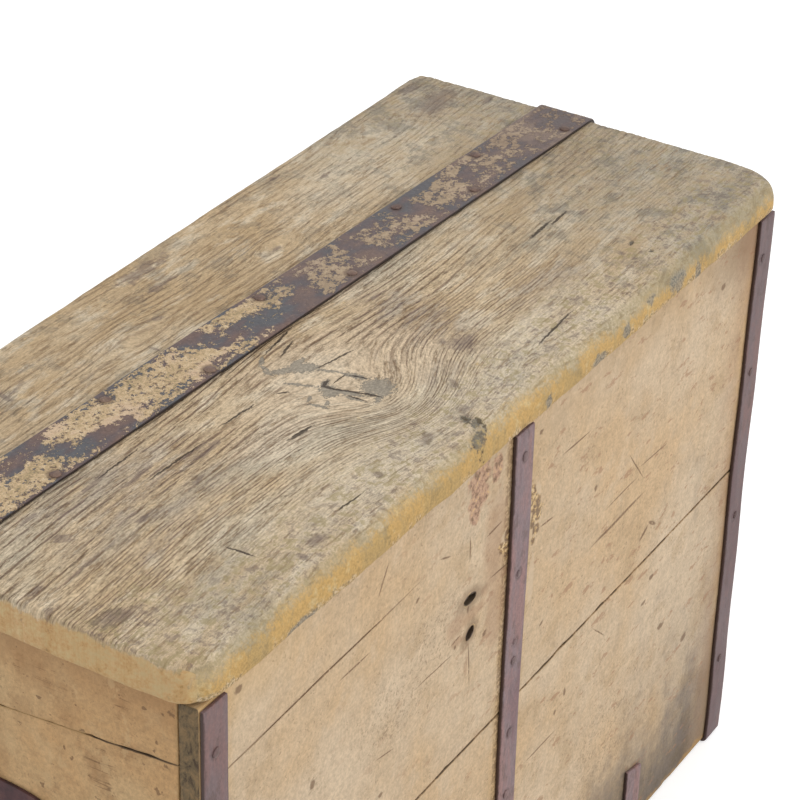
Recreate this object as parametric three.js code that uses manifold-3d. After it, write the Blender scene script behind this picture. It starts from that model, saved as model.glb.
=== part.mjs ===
// A painted plank ship chest bound with flat iron: a boarded case, a two-plank lid hinged along
// the back, three iron hoops, two short under-straps, a long lid strap and a drop handle on each end.
// Units are millimetres. +X is to the right along the length, the front faces -Y and +Z is up.
// The origin is on the floor, under the middle of the lid.
import * as THREE from "three";
import { mergeVertices } from "three/addons/utils/BufferGeometryUtils.js";
import Module from "manifold-3d";

const wasm = await Module();
wasm.setup();

// Clearances that are used all over the chest
const seatGap = 0.3;
const seamGap = 0.5;
const lidSeatGap = 0.5;
const cutOverrun = 2;
const roundSteps = 4;

// Boarded case
const caseLength = 720;
const caseDepth = 290;
const caseHeight = 482;
const wallThickness = 13.5;
const boardEdge = 0.8;
const longSeamHeight = 259;
const endTopBoardHeight = 49;
const bottomThickness = 15;

// Slots that the lost hasp left in the front, measured from the middle and from the upper edge
const haspSlotOffset = -62;
const haspUpperSlotDrop = 99;
const haspLowerSlotDrop = 127;
const haspSlotLength = 10;
const haspSlotWidth = 4.5;
const haspSlotTilt = Math.PI / 5;

// Lid of two planks, the seam between them running a little askew
const lidThickness = 27;
const lidFrontOverhang = 6.5;
const lidBackOverhang = 16.5;
const lidEndOverhang = 6.5;
const lidSeamBackLeft = 110;
const lidSeamBackRight = 131;
const lidNoseReach = 12;
const lidNoseDrop = 17;
const lidUnderRound = 6;
const lidTailReach = 6;
const lidTailDrop = 8;
const lidTailUnderRound = 1.5;
const lidEndReach = 7;
const lidEndDrop = 9;
const lidEndUnderRound = 4;
const lidCornerFrontLeft = 20;
const lidCornerFrontRight = 14;
const lidCornerBackLeft = 12;
const lidCornerBackRight = 14;

// Battens nailed across the underside of the lid
const battenWidth = 36;
const battenThickness = 16;
const battenEndClearance = 8;
const battenInset = 98;

// Flat iron
const hoopWidth = 25;
const hoopThickness = 3;
const hoopBend = 1;
const hoopTopClearance = 2;
const hoopNudge = -6;
const underStrapInset = 155;
const underStrapRise = 64;
const underStrapSlant = 6;
const lidStrapWidth = 48;
const lidStrapThickness = 3;
const lidStrapBend = 4;
const lidStrapDrop = 20;

// Hand-made nails
const nailHeadRadius = 3.9;
const nailHeadHeight = 1.6;
const nailShankRadius = 1.5;
const nailShankLength = 13.5;
const nailSides = 8;
const nailCrown_shares = { radius: 0.8, height: 0.7 };
const lidNailInset = 9;
const centreHoopNail_shares = { upper: [0.9, 0.49, 0.24, 0.17], lower: [0.91, 0.7] };
const cornerHoopNail_shares = { upper: [0.84, 0.4], lower: [0.84, 0.3] };
const lidStrapNail_shares = [
  { along: 0.152, side: -1 },
  { along: 0.267, side: 1 },
  { along: 0.358, side: -1 },
  { along: 0.487, side: 1 },
  { along: 0.574, side: -1 },
  { along: 0.71, side: 1 },
  { along: 0.786, side: -1 },
  { along: 0.853, side: 1 },
  { along: 0.958, side: -1 },
];

// Butt hinges behind the back wall
const hingeInset = 135;
const hingeLength = 66;
const hingeAxisReach = 7;
const knuckleRadius = 4.5;
const knuckleGap = 0.6;
const hingePinRadius = 1.9;
const hingePinClearance = 0.3;
const hingePinHeadRadius = 3.4;
const hingePinHeadLength = 1.6;
const caseLeafHeight = 42;
const caseLeafThickness = 2.8;
const lidLeafReach = 34;
const lidLeafThickness = 2;
const knuckleSteps = 16;
const knuckleMiddle_share = 1 / 3;

// Drop handles on the two ends
const handleDrop = 141;
const handlePlateWidth = 124;
const handlePlateHeight = 60;
const handlePlateThickness = 2.5;
const handlePlatePower = 2.3;
const handlePlateSteps = 32;
const handlePivotRise = 8;
const postSpacing = 90;
const postWidth = 9;
const postReach = 9;
const postRadius = 8;
const bailRadius = 4;
const bailClearance = 0.5;
const bailArmSpacing = 64;
const bailDrop = 45;
const bailSides = 8;
const bailSteps = 34;
const bailHeadRadius = 5.6;
const bailHeadLength = 2.5;
const bailCurve_shares = [
  { across: 0.96, down: 0.5 },
  { across: 0.74, down: 0.85 },
  { across: 0.4, down: 0.98 },
  { across: 0, down: 1 },
];

// Levels and faces that follow from the sizes above
const woodBase = hoopThickness + seatGap;
const caseTop = woodBase + caseHeight;
const lidUnder = caseTop + lidSeatGap;
const lidTop = lidUnder + lidThickness;
const lidLength = caseLength + 2 * lidEndOverhang;
const lidDepth = lidFrontOverhang + caseDepth + lidBackOverhang;
const frontFace = -lidDepth / 2 + lidFrontOverhang;
const backFace = frontFace + caseDepth;
const caseMiddle = (frontFace + backFace) / 2;
const endFace = caseLength / 2;
const battenOffset = endFace - battenInset;
const underStrapOffset = endFace - underStrapInset;
const hingeOffset = endFace - hingeInset;
const lidSeamLeft = lidDepth / 2 - lidSeamBackLeft;
const lidSeamRight = lidDepth / 2 - lidSeamBackRight;
const hingeAxisDepth = backFace + hingeAxisReach;
const hingeAxisHeight = lidUnder;
const nailHoleRadius = nailShankRadius + seatGap;
const longSeam = woodBase + longSeamHeight;

// Finishes
const endWood = new THREE.MeshStandardMaterial({ color: 0xb2946a, roughness: 0.75, metalness: 0 });
const frontWood = new THREE.MeshStandardMaterial({ color: 0xcdb28c, roughness: 0.7, metalness: 0 });
const lidWood = new THREE.MeshStandardMaterial({ color: 0xb4a588, roughness: 0.85, metalness: 0 });
const plainWood = new THREE.MeshStandardMaterial({ color: 0xa88c62, roughness: 0.85, metalness: 0 });
const paintedIron = new THREE.MeshStandardMaterial({ color: 0x7a6468, roughness: 0.55, metalness: 0.2 });
const darkIron = new THREE.MeshStandardMaterial({ color: 0x4b3a3a, roughness: 0.5, metalness: 0.6 });
const wornIron = new THREE.MeshStandardMaterial({ color: 0x6b6a70, roughness: 0.6, metalness: 0.4 });

const axisX = new THREE.Vector3(1, 0, 0);
const axisY = new THREE.Vector3(0, 1, 0);
const axisZ = new THREE.Vector3(0, 0, 1);
const awayY = new THREE.Vector3(0, -1, 0);

// A closed three.js geometry as a solid that can be joined and cut
function solidOf(geometry) {
  const bare = geometry.clone();
  bare.deleteAttribute("normal");
  bare.deleteAttribute("uv");
  const merged = mergeVertices(bare);
  const vertProperties = new Float32Array(merged.attributes.position.array);
  const triVerts = new Uint32Array(merged.index.array);
  return new wasm.Manifold(new wasm.Mesh({ numProp: 3, vertProperties, triVerts }));
}

// A solid as a geometry with flat faces
function geometryOf(solid) {
  const mesh = solid.getMesh();
  const indexed = new THREE.BufferGeometry();
  indexed.setAttribute("position", new THREE.BufferAttribute(mesh.vertProperties, mesh.numProp));
  indexed.setIndex(new THREE.BufferAttribute(mesh.triVerts, 1));
  const flat = indexed.toNonIndexed();
  flat.computeVertexNormals();
  return flat;
}

function addPiece(parent, name, shape, material) {
  const geometry = shape.isBufferGeometry ? shape : geometryOf(shape);
  const mesh = new THREE.Mesh(geometry, material.clone());
  mesh.name = name;
  parent.add(mesh);
  return mesh;
}

function subtractAll(solid, cutters) {
  return cutters.reduce((left, cutter) => left.subtract(cutter), solid);
}

function boxSolid(low, high) {
  const geometry = new THREE.BoxGeometry(high[0] - low[0], high[1] - low[1], high[2] - low[2]);
  geometry.translate((low[0] + high[0]) / 2, (low[1] + high[1]) / 2, (low[2] + high[2]) / 2);
  return solidOf(geometry);
}

// A board between two corners with its long edges and ends eased
function boardGeometry(low, high) {
  const depth = high[1] - low[1];
  const outline = new THREE.Shape([
    new THREE.Vector2(low[0], low[2]),
    new THREE.Vector2(high[0], low[2]),
    new THREE.Vector2(high[0], high[2]),
    new THREE.Vector2(low[0], high[2]),
  ]);
  const geometry = new THREE.ExtrudeGeometry(outline, {
    depth: depth - 2 * boardEdge,
    bevelSize: boardEdge,
    bevelOffset: -boardEdge,
    bevelThickness: boardEdge,
    bevelSegments: 1,
  });
  geometry.applyMatrix4(new THREE.Matrix4().makeBasis(axisX, axisZ, awayY));
  geometry.translate(0, high[1] - boardEdge, 0);
  return geometry;
}

// An outline in Y and Z, drawn out along X between two places
function alongX(outline, from, to) {
  const geometry = new THREE.ExtrudeGeometry(outline, {
    depth: to - from,
    bevelEnabled: false,
    curveSegments: roundSteps,
  });
  geometry.applyMatrix4(new THREE.Matrix4().makeBasis(axisY, axisZ, axisX));
  geometry.translate(from, 0, 0);
  return geometry;
}

// An outline in X and Z, drawn out along Y between two places
function alongY(outline, from, to) {
  const geometry = new THREE.ExtrudeGeometry(outline, {
    depth: to - from,
    bevelEnabled: false,
    curveSegments: roundSteps,
  });
  geometry.applyMatrix4(new THREE.Matrix4().makeBasis(axisX, axisZ, awayY));
  geometry.translate(0, to, 0);
  return geometry;
}

// An outline in X and Y, drawn out along Z between two levels
function alongZ(outline, from, to) {
  const geometry = new THREE.ExtrudeGeometry(outline, {
    depth: to - from,
    bevelEnabled: false,
    curveSegments: roundSteps,
  });
  geometry.translate(0, 0, from);
  return geometry;
}

function rodAlongX(radius, from, to, y, z, sides) {
  const geometry = new THREE.CylinderGeometry(radius, radius, to - from, sides);
  geometry.rotateZ(-Math.PI / 2);
  geometry.translate((from + to) / 2, y, z);
  return solidOf(geometry);
}

function rodAlongY(radius, from, to, x, z, sides) {
  const geometry = new THREE.CylinderGeometry(radius, radius, to - from, sides);
  geometry.translate(x, (from + to) / 2, z);
  return solidOf(geometry);
}

function rodAlongZ(radius, from, to, x, y, sides) {
  const geometry = new THREE.CylinderGeometry(radius, radius, to - from, sides);
  geometry.rotateX(Math.PI / 2);
  geometry.translate(x, y, (from + to) / 2);
  return solidOf(geometry);
}

// The outline of a strip bent into a U: an inner width, two legs, a thickness and an inner bend radius
function bentStripOutline(width, leftRise, rightRise, thickness, bend) {
  const outline = new THREE.Shape();
  outline.moveTo(-thickness, leftRise);
  outline.lineTo(-thickness, bend);
  outline.absarc(bend, bend, bend + thickness, Math.PI, 1.5 * Math.PI, false);
  outline.lineTo(width - bend, -thickness);
  outline.absarc(width - bend, bend, bend + thickness, 1.5 * Math.PI, 2 * Math.PI, false);
  outline.lineTo(width + thickness, rightRise);
  outline.lineTo(width, rightRise);
  outline.lineTo(width, bend);
  outline.absarc(width - bend, bend, bend, 2 * Math.PI, 1.5 * Math.PI, true);
  outline.lineTo(bend, 0);
  outline.absarc(bend, bend, bend, 1.5 * Math.PI, Math.PI, true);
  outline.closePath();
  return outline;
}

// Places of a hoop's nails, as shares of the height of each board that they are driven into
function frontNails(x, shares) {
  const upper = shares.upper.map((share) => THREE.MathUtils.lerp(longSeam, caseTop, share));
  const lower = shares.lower.map((share) => THREE.MathUtils.lerp(woodBase, longSeam, share));
  return [...upper, ...lower].map((z) => ({ x, z }));
}

function lidNails() {
  return lidStrapNail_shares.map(({ along, side }) => {
    const seam = THREE.MathUtils.lerp(lidSeamLeft, lidSeamRight, along);
    const x = (along - 1 / 2) * lidLength;
    return { x, y: seam + side * (lidStrapWidth / 2 - lidNailInset) };
  });
}

const hoopPlaces = {
  left: -endFace + hoopWidth / 2,
  centre: hoopNudge,
  right: endFace - hoopWidth / 2,
};
const hoopNails = {
  left: frontNails(hoopPlaces.left, cornerHoopNail_shares),
  centre: frontNails(hoopPlaces.centre, centreHoopNail_shares),
  right: frontNails(hoopPlaces.right, cornerHoopNail_shares),
};

// Holes for the nails of the front and of the lid, from the outside of the iron inwards
function frontNailHoles() {
  const outside = frontFace - seatGap - hoopThickness - cutOverrun;
  const inside = frontFace - seatGap - hoopThickness + nailShankLength + seatGap;
  const places = Object.values(hoopNails).flat();
  return places.map(({ x, z }) => rodAlongY(nailHoleRadius, outside, inside, x, z, nailSides));
}

function lidNailHoles() {
  const outside = lidTop + seatGap + lidStrapThickness + cutOverrun;
  const inside = lidTop + seatGap + lidStrapThickness - nailShankLength - seatGap;
  return lidNails().map(({ x, y }) => rodAlongZ(nailHoleRadius, inside, outside, x, y, nailSides));
}

function haspSlot(drop) {
  const straight = (haspSlotLength - haspSlotWidth) / 2;
  const outline = new THREE.Shape();
  outline.absarc(straight, 0, haspSlotWidth / 2, -Math.PI / 2, Math.PI / 2, false);
  outline.absarc(-straight, 0, haspSlotWidth / 2, Math.PI / 2, 1.5 * Math.PI, false);
  const geometry = alongY(outline, frontFace - cutOverrun, frontFace + wallThickness + cutOverrun);
  geometry.rotateY(-haspSlotTilt);
  geometry.translate(haspSlotOffset, 0, caseTop - drop);
  return solidOf(geometry);
}

// The long walls, each of two boards that cover the ends of the short walls
function addLongWalls(parent) {
  const walls = [
    { name: "front", near: frontFace, far: frontFace + wallThickness },
    { name: "back", near: backFace - wallThickness, far: backFace },
  ];
  for (const { name, near, far } of walls) {
    let lower = solidOf(boardGeometry([-endFace, near, woodBase], [endFace, far, longSeam - seamGap / 2]));
    let upper = solidOf(boardGeometry([-endFace, near, longSeam + seamGap / 2], [endFace, far, caseTop]));
    if (name === "front") {
      const holes = frontNailHoles();
      lower = subtractAll(lower, holes);
      upper = subtractAll(upper, [...holes, haspSlot(haspUpperSlotDrop), haspSlot(haspLowerSlotDrop)]);
    }
    addPiece(parent, name + "_board_lower", lower, frontWood);
    addPiece(parent, name + "_board_upper", upper, frontWood);
  }
}

// The short walls, each of three boards set between the long walls
function addEndWalls(parent) {
  const near = frontFace + wallThickness + seatGap;
  const far = backFace - wallThickness - seatGap;
  const levels = [woodBase, longSeam, caseTop - endTopBoardHeight, caseTop];
  const names = ["bottom", "middle", "top"];
  for (const side of [-1, 1]) {
    const faces = [side * endFace, side * (endFace - wallThickness)].sort((a, b) => a - b);
    names.forEach((name, i) => {
      const low = levels[i] + (i > 0 ? seamGap / 2 : 0);
      const high = levels[i + 1] - (i < names.length - 1 ? seamGap / 2 : 0);
      const board = boardGeometry([faces[0], near, low], [faces[1], far, high]);
      addPiece(parent, (side < 0 ? "left" : "right") + "_end_board_" + name, board, endWood);
    });
  }
}

// The floor of the case, two boards set inside the walls and carried by the iron under them
function addBottom(parent) {
  const reach = endFace - wallThickness - seatGap;
  const near = frontFace + wallThickness + seatGap;
  const far = backFace - wallThickness - seatGap;
  const top = woodBase + bottomThickness;
  const front = boardGeometry([-reach, near, woodBase], [reach, caseMiddle - seamGap / 2, top]);
  const back = boardGeometry([-reach, caseMiddle + seamGap / 2, woodBase], [reach, far, top]);
  addPiece(parent, "bottom_board_front", front, plainWood);
  addPiece(parent, "bottom_board_back", back, plainWood);
}

// The three hoops, each bent under the case and nailed up its front and back
function addHoops(parent) {
  const rise = caseHeight + seatGap - hoopTopClearance;
  const width = caseDepth + 2 * seatGap;
  const outline = bentStripOutline(width, rise, rise, hoopThickness, hoopBend);
  const holes = frontNailHoles();
  for (const [name, x] of Object.entries(hoopPlaces)) {
    const strip = alongX(outline, x - hoopWidth / 2, x + hoopWidth / 2);
    strip.translate(0, frontFace - seatGap, hoopThickness);
    addPiece(parent, "hoop_strap_" + name, subtractAll(solidOf(strip), holes), paintedIron);
  }
}

// The short straps under the case, their cut ends turned up a hand's breadth and sheared aslant
function addUnderStraps(parent) {
  const width = caseDepth + 2 * seatGap;
  const outline = bentStripOutline(width, underStrapRise, underStrapRise, hoopThickness, hoopBend);
  for (const side of [-1, 1]) {
    const x = side * underStrapOffset;
    const strip = alongX(outline, x - hoopWidth / 2, x + hoopWidth / 2);
    strip.translate(0, frontFace - seatGap, hoopThickness);
    const top = hoopThickness + underStrapRise;
    const shear = new THREE.Shape([
      new THREE.Vector2(x - hoopWidth / 2 - cutOverrun, top + cutOverrun),
      new THREE.Vector2(x - hoopWidth / 2, top),
      new THREE.Vector2(x + hoopWidth / 2, top - underStrapSlant),
      new THREE.Vector2(x + hoopWidth / 2 + cutOverrun, top + cutOverrun),
    ]);
    const cutter = solidOf(alongY(shear, -lidDepth, lidDepth));
    const name = "under_strap_" + (side < 0 ? "left" : "right");
    addPiece(parent, name, solidOf(strip).subtract(cutter), paintedIron);
  }
}

// The lid's section across its depth, with a worn nose along the front
function lidDepthOutline() {
  const front = -lidDepth / 2;
  const back = lidDepth / 2;
  const half = Math.PI / 2;
  const outline = new THREE.Shape();
  outline.moveTo(front + lidUnderRound, lidUnder);
  outline.lineTo(back - lidTailUnderRound, lidUnder);
  outline.absarc(back - lidTailUnderRound, lidUnder + lidTailUnderRound, lidTailUnderRound, -half, 0, false);
  outline.absellipse(back - lidTailReach, lidTop - lidTailDrop, lidTailReach, lidTailDrop, 0, half, false);
  outline.lineTo(front + lidNoseReach, lidTop);
  outline.absellipse(
    front + lidNoseReach, lidTop - lidNoseDrop, lidNoseReach, lidNoseDrop, half, 2 * half, false);
  outline.absarc(front + lidUnderRound, lidUnder + lidUnderRound, lidUnderRound, 2 * half, 3 * half, false);
  return outline;
}

// The lid's section along its length, with both ends worn round
function lidLengthOutline() {
  const half = Math.PI / 2;
  const reach = lidLength / 2;
  const low = lidUnder + lidEndUnderRound;
  const outline = new THREE.Shape();
  outline.moveTo(-reach + lidEndUnderRound, lidUnder);
  outline.lineTo(reach - lidEndUnderRound, lidUnder);
  outline.absarc(reach - lidEndUnderRound, low, lidEndUnderRound, -half, 0, false);
  outline.absellipse(reach - lidEndReach, lidTop - lidEndDrop, lidEndReach, lidEndDrop, 0, half, false);
  outline.absellipse(-reach + lidEndReach, lidTop - lidEndDrop, lidEndReach, lidEndDrop, half, 2 * half, false);
  outline.absarc(-reach + lidEndUnderRound, low, lidEndUnderRound, 2 * half, 3 * half, false);
  return outline;
}

// The plan of one plank, from the seam to the front or to the back, with two rounded corners
function plankPlan(side) {
  const reach = lidLength / 2;
  const edge = (side * lidDepth) / 2;
  const left = side < 0 ? lidCornerFrontLeft : lidCornerBackLeft;
  const right = side < 0 ? lidCornerFrontRight : lidCornerBackRight;
  const quarter = Math.PI / 2;
  const clockwise = side > 0;
  const outline = new THREE.Shape();
  outline.moveTo(-reach, lidSeamLeft + (side * seamGap) / 2);
  outline.lineTo(-reach, edge - side * left);
  outline.absarc(-reach + left, edge - side * left, left, 2 * quarter, side * quarter, clockwise);
  outline.absarc(reach - right, edge - side * right, right, side * quarter, 0, clockwise);
  outline.lineTo(reach, lidSeamRight + (side * seamGap) / 2);
  return outline;
}

// Room in the underside of the lid for a hinge leaf and for the knuckles below its back edge
function hingeRecess(x) {
  const half = hingeLength / 2 + seatGap;
  const reach = half + hingePinHeadLength + seatGap;
  const room = knuckleRadius + knuckleGap;
  const barrel = rodAlongX(room, x - reach, x + reach, hingeAxisDepth, hingeAxisHeight, knuckleSteps);
  const leaf = boxSolid(
    [x - half, hingeAxisDepth - lidLeafReach - seatGap, lidUnder - cutOverrun],
    [x + half, hingeAxisDepth, lidUnder + lidLeafThickness + 2 * seatGap],
  );
  return barrel.add(leaf);
}

function addLidPlanks(parent) {
  const across = solidOf(alongX(lidDepthOutline(), -lidLength, lidLength));
  const along = solidOf(alongY(lidLengthOutline(), -lidDepth, lidDepth));
  const blank = across.intersect(along);
  const holes = lidNailHoles();
  for (const side of [-1, 1]) {
    const plan = solidOf(alongZ(plankPlan(side), lidUnder - cutOverrun, lidTop + cutOverrun));
    let plank = subtractAll(blank.intersect(plan), holes);
    if (side > 0) plank = subtractAll(plank, [hingeRecess(-hingeOffset), hingeRecess(hingeOffset)]);
    addPiece(parent, "lid_plank_" + (side < 0 ? "front" : "back"), plank, lidWood);
  }
}

function addLidBattens(parent) {
  const near = frontFace + wallThickness + battenEndClearance;
  const far = backFace - wallThickness - battenEndClearance;
  const top = lidUnder - seatGap;
  const places = { left: -battenOffset, centre: 0, right: battenOffset };
  for (const [name, x] of Object.entries(places)) {
    const low = [x - battenWidth / 2, near, top - battenThickness];
    const high = [x + battenWidth / 2, far, top];
    addPiece(parent, "lid_batten_" + name, boardGeometry(low, high), plainWood);
  }
}

// The strap over the lid's seam, turned down over both ends
function addLidStrap(parent) {
  const width = lidLength + 2 * seatGap;
  const outline = bentStripOutline(width, lidStrapDrop, lidStrapDrop, lidStrapThickness, lidStrapBend);
  const bent = alongY(outline, -lidDepth, lidDepth);
  bent.rotateX(Math.PI);
  bent.translate(-width / 2, 0, lidTop + seatGap);
  const reach = lidLength;
  const slope = (lidSeamRight - lidSeamLeft) / lidLength;
  const middle = (lidSeamLeft + lidSeamRight) / 2;
  const half = lidStrapWidth / 2;
  const plan = new THREE.Shape([
    new THREE.Vector2(-reach, middle - slope * reach - half),
    new THREE.Vector2(reach, middle + slope * reach - half),
    new THREE.Vector2(reach, middle + slope * reach + half),
    new THREE.Vector2(-reach, middle - slope * reach + half),
  ]);
  const band = solidOf(alongZ(plan, caseTop - lidStrapDrop, lidTop + lidStrapThickness + cutOverrun));
  addPiece(parent, "lid_strap", subtractAll(solidOf(bent).intersect(band), lidNailHoles()), wornIron);
}

// A nail along Y with its head up
function nailGeometry() {
  const profile = [
    new THREE.Vector2(0, -nailShankLength),
    new THREE.Vector2(nailShankRadius, -nailShankLength + 2 * nailShankRadius),
    new THREE.Vector2(nailShankRadius, 0),
    new THREE.Vector2(nailHeadRadius, 0),
    new THREE.Vector2(nailCrown_shares.radius * nailHeadRadius, nailCrown_shares.height * nailHeadHeight),
    new THREE.Vector2(0, nailHeadHeight),
  ];
  return new THREE.LatheGeometry(profile, nailSides);
}

function addNails(root, lid) {
  for (const [name, places] of Object.entries(hoopNails)) {
    places.forEach(({ x, z }, i) => {
      const nail = addPiece(root, "hoop_nail_" + name + "_" + (i + 1), nailGeometry(), paintedIron);
      nail.rotation.x = Math.PI;
      nail.position.set(x, frontFace - 2 * seatGap - hoopThickness, z);
    });
  }
  lidNails().forEach(({ x, y }, i) => {
    const nail = addPiece(lid, "lid_strap_nail_" + (i + 1), nailGeometry(), wornIron);
    nail.rotation.x = Math.PI / 2;
    nail.position.set(x, y, lidTop + 2 * seatGap + lidStrapThickness);
  });
}

function knuckle(from, to) {
  return rodAlongX(knuckleRadius, from, to, hingeAxisDepth, hingeAxisHeight, knuckleSteps);
}

function pinBore(x) {
  const half = hingeLength / 2 + cutOverrun;
  const radius = hingePinRadius + hingePinClearance;
  return rodAlongX(radius, x - half, x + half, hingeAxisDepth, hingeAxisHeight, knuckleSteps);
}

// The fixed leaf: a plate on the back wall that carries the two outer knuckles
function caseLeaf(x) {
  const half = hingeLength / 2;
  const middle = (hingeLength * knuckleMiddle_share) / 2;
  const face = backFace + seatGap;
  const plate = boxSolid(
    [x - half, face, caseTop - caseLeafHeight],
    [x + half, face + caseLeafThickness, caseTop],
  );
  const room = rodAlongX(
    knuckleRadius + knuckleGap, x - middle, x + middle, hingeAxisDepth, hingeAxisHeight, knuckleSteps);
  const outer = knuckle(x - half, x - middle).add(knuckle(x + middle, x + half));
  return plate.subtract(room).add(outer).subtract(pinBore(x));
}

// The moving leaf: a plate let into the lid that carries the middle knuckle
function lidLeaf(x) {
  const half = hingeLength / 2;
  const middle = (hingeLength * knuckleMiddle_share) / 2;
  const top = lidUnder + seatGap + lidLeafThickness;
  const clear = hingeAxisDepth - knuckleRadius - knuckleGap;
  const plate = boxSolid([x - half, hingeAxisDepth - lidLeafReach, lidUnder + seatGap], [x + half, clear, top]);
  const tongue = boxSolid(
    [x - middle + knuckleGap, clear - cutOverrun, lidUnder + seatGap],
    [x + middle - knuckleGap, hingeAxisDepth, top],
  );
  const barrel = knuckle(x - middle + knuckleGap, x + middle - knuckleGap);
  return plate.add(tongue).add(barrel).subtract(pinBore(x));
}

function hingePin(x) {
  const half = hingeLength / 2 + seatGap;
  const shaft = rodAlongX(hingePinRadius, x - half - hingePinHeadLength, x + half + hingePinHeadLength,
    hingeAxisDepth, hingeAxisHeight, knuckleSteps);
  const heads = [-1, 1].map((side) => {
    const inner = x + side * half;
    const outer = x + side * (half + hingePinHeadLength);
    return rodAlongX(hingePinHeadRadius, Math.min(inner, outer), Math.max(inner, outer),
      hingeAxisDepth, hingeAxisHeight, knuckleSteps);
  });
  return shaft.add(heads[0]).add(heads[1]);
}

function addHinges(root, lid) {
  for (const side of [-1, 1]) {
    const name = "hinge_" + (side < 0 ? "left" : "right");
    const x = side * hingeOffset;
    addPiece(root, name + "_case_leaf", caseLeaf(x), darkIron);
    addPiece(root, name + "_pin", hingePin(x), darkIron);
    addPiece(lid, name + "_lid_leaf", lidLeaf(x), darkIron);
  }
}

// The handle's plate lies in Y and Z and stands out along X from zero
function handlePlate() {
  const half = new THREE.Vector2(handlePlateWidth / 2, handlePlateHeight / 2);
  const points = [];
  for (let i = 0; i < handlePlateSteps; i++) {
    const turn = (2 * Math.PI * i) / handlePlateSteps;
    const across = Math.cos(turn);
    const up = Math.sin(turn);
    points.push(new THREE.Vector2(
      half.x * Math.sign(across) * Math.abs(across) ** (2 / handlePlatePower),
      half.y * Math.sign(up) * Math.abs(up) ** (2 / handlePlatePower),
    ));
  }
  return alongX(new THREE.Shape(points), 0, handlePlateThickness);
}

// A post with a round nose, bored across for the end of the bail
function handlePost() {
  const outline = new THREE.Shape();
  outline.moveTo(0, -postRadius);
  outline.lineTo(postReach, -postRadius);
  outline.absarc(postReach, 0, postRadius, -Math.PI / 2, Math.PI / 2, false);
  outline.lineTo(0, postRadius);
  const body = solidOf(alongY(outline, -postWidth / 2, postWidth / 2));
  const radius = bailRadius + bailClearance;
  const bore = rodAlongY(radius, -postWidth, postWidth, postReach, 0, knuckleSteps);
  return body.subtract(bore);
}

// The bail hangs from its axis, which is the Y axis here, with both ends turned out through the posts
function handleBail() {
  const tip = postSpacing / 2 + postWidth / 2 + seatGap + bailHeadLength;
  const arm = bailArmSpacing / 2;
  const half = [
    [tip - bailHeadLength / 2, 0],
    [postSpacing / 2, 0],
    [arm + 2 * bailRadius, 0],
    [arm + bailRadius / 2, -bailRadius / 2],
    [arm, -2 * bailRadius],
    ...bailCurve_shares.map(({ across, down }) => [across * arm, -down * bailDrop]),
  ];
  const mirrored = half.slice(0, -1).reverse().map(([y, z]) => [-y, z]);
  const path = new THREE.CatmullRomCurve3(
    [...half, ...mirrored].map(([y, z]) => new THREE.Vector3(0, y, z)), false, "centripetal");
  const section = new THREE.Shape();
  section.absarc(0, 0, bailRadius, 0, 2 * Math.PI, false);
  const rod = new THREE.ExtrudeGeometry(section, {
    steps: bailSteps,
    curveSegments: bailSides / 2,
    extrudePath: path,
  });
  const inner = tip - bailHeadLength;
  return solidOf(rod)
    .add(rodAlongY(bailHeadRadius, inner, tip, 0, 0, knuckleSteps))
    .add(rodAlongY(bailHeadRadius, -tip, -inner, 0, 0, knuckleSteps));
}

function addHandles(root) {
  for (const side of [-1, 1]) {
    const name = (side < 0 ? "left" : "right") + "_handle_";
    const handle = new THREE.Group();
    handle.rotation.z = side < 0 ? Math.PI : 0;
    handle.position.set(side * (endFace + seatGap), caseMiddle, caseTop - handleDrop);
    root.add(handle);
    addPiece(handle, name + "plate", handlePlate(), darkIron);
    const foot = handlePlateThickness + seatGap;
    const ends = side < 0 ? ["back", "front"] : ["front", "back"];
    ends.forEach((end, i) => {
      const post = addPiece(handle, name + "post_" + end, handlePost(), darkIron);
      post.position.set(foot, ((2 * i - 1) * postSpacing) / 2, handlePivotRise);
    });
    const bail = addPiece(handle, name + "bail", handleBail(), darkIron);
    bail.position.set(foot + postReach, 0, handlePivotRise);
  }
}

const chest = new THREE.Group();
const caseGroup = new THREE.Group();
const lidGroup = new THREE.Group();
chest.add(caseGroup, lidGroup);
addLongWalls(caseGroup);
addEndWalls(caseGroup);
addBottom(caseGroup);
addHoops(caseGroup);
addUnderStraps(caseGroup);
addLidPlanks(lidGroup);
addLidBattens(lidGroup);
addLidStrap(lidGroup);
addNails(caseGroup, lidGroup);
addHinges(caseGroup, lidGroup);
addHandles(caseGroup);

export default chest;
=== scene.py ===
"""Looks of a painted plank ship chest bound with flat iron.

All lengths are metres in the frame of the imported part: +X to the right along the length, the front
faces -Y, +Z is up, and the origin is on the floor under the middle of the closed lid. Sizes that are
easier to read in millimetres are written as a number times MM.
"""

import logging
import math
from dataclasses import dataclass, field
from enum import Enum
from typing import Callable, Sequence

import bmesh
import bpy
import numpy as np
from mathutils import Matrix, Vector


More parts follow.
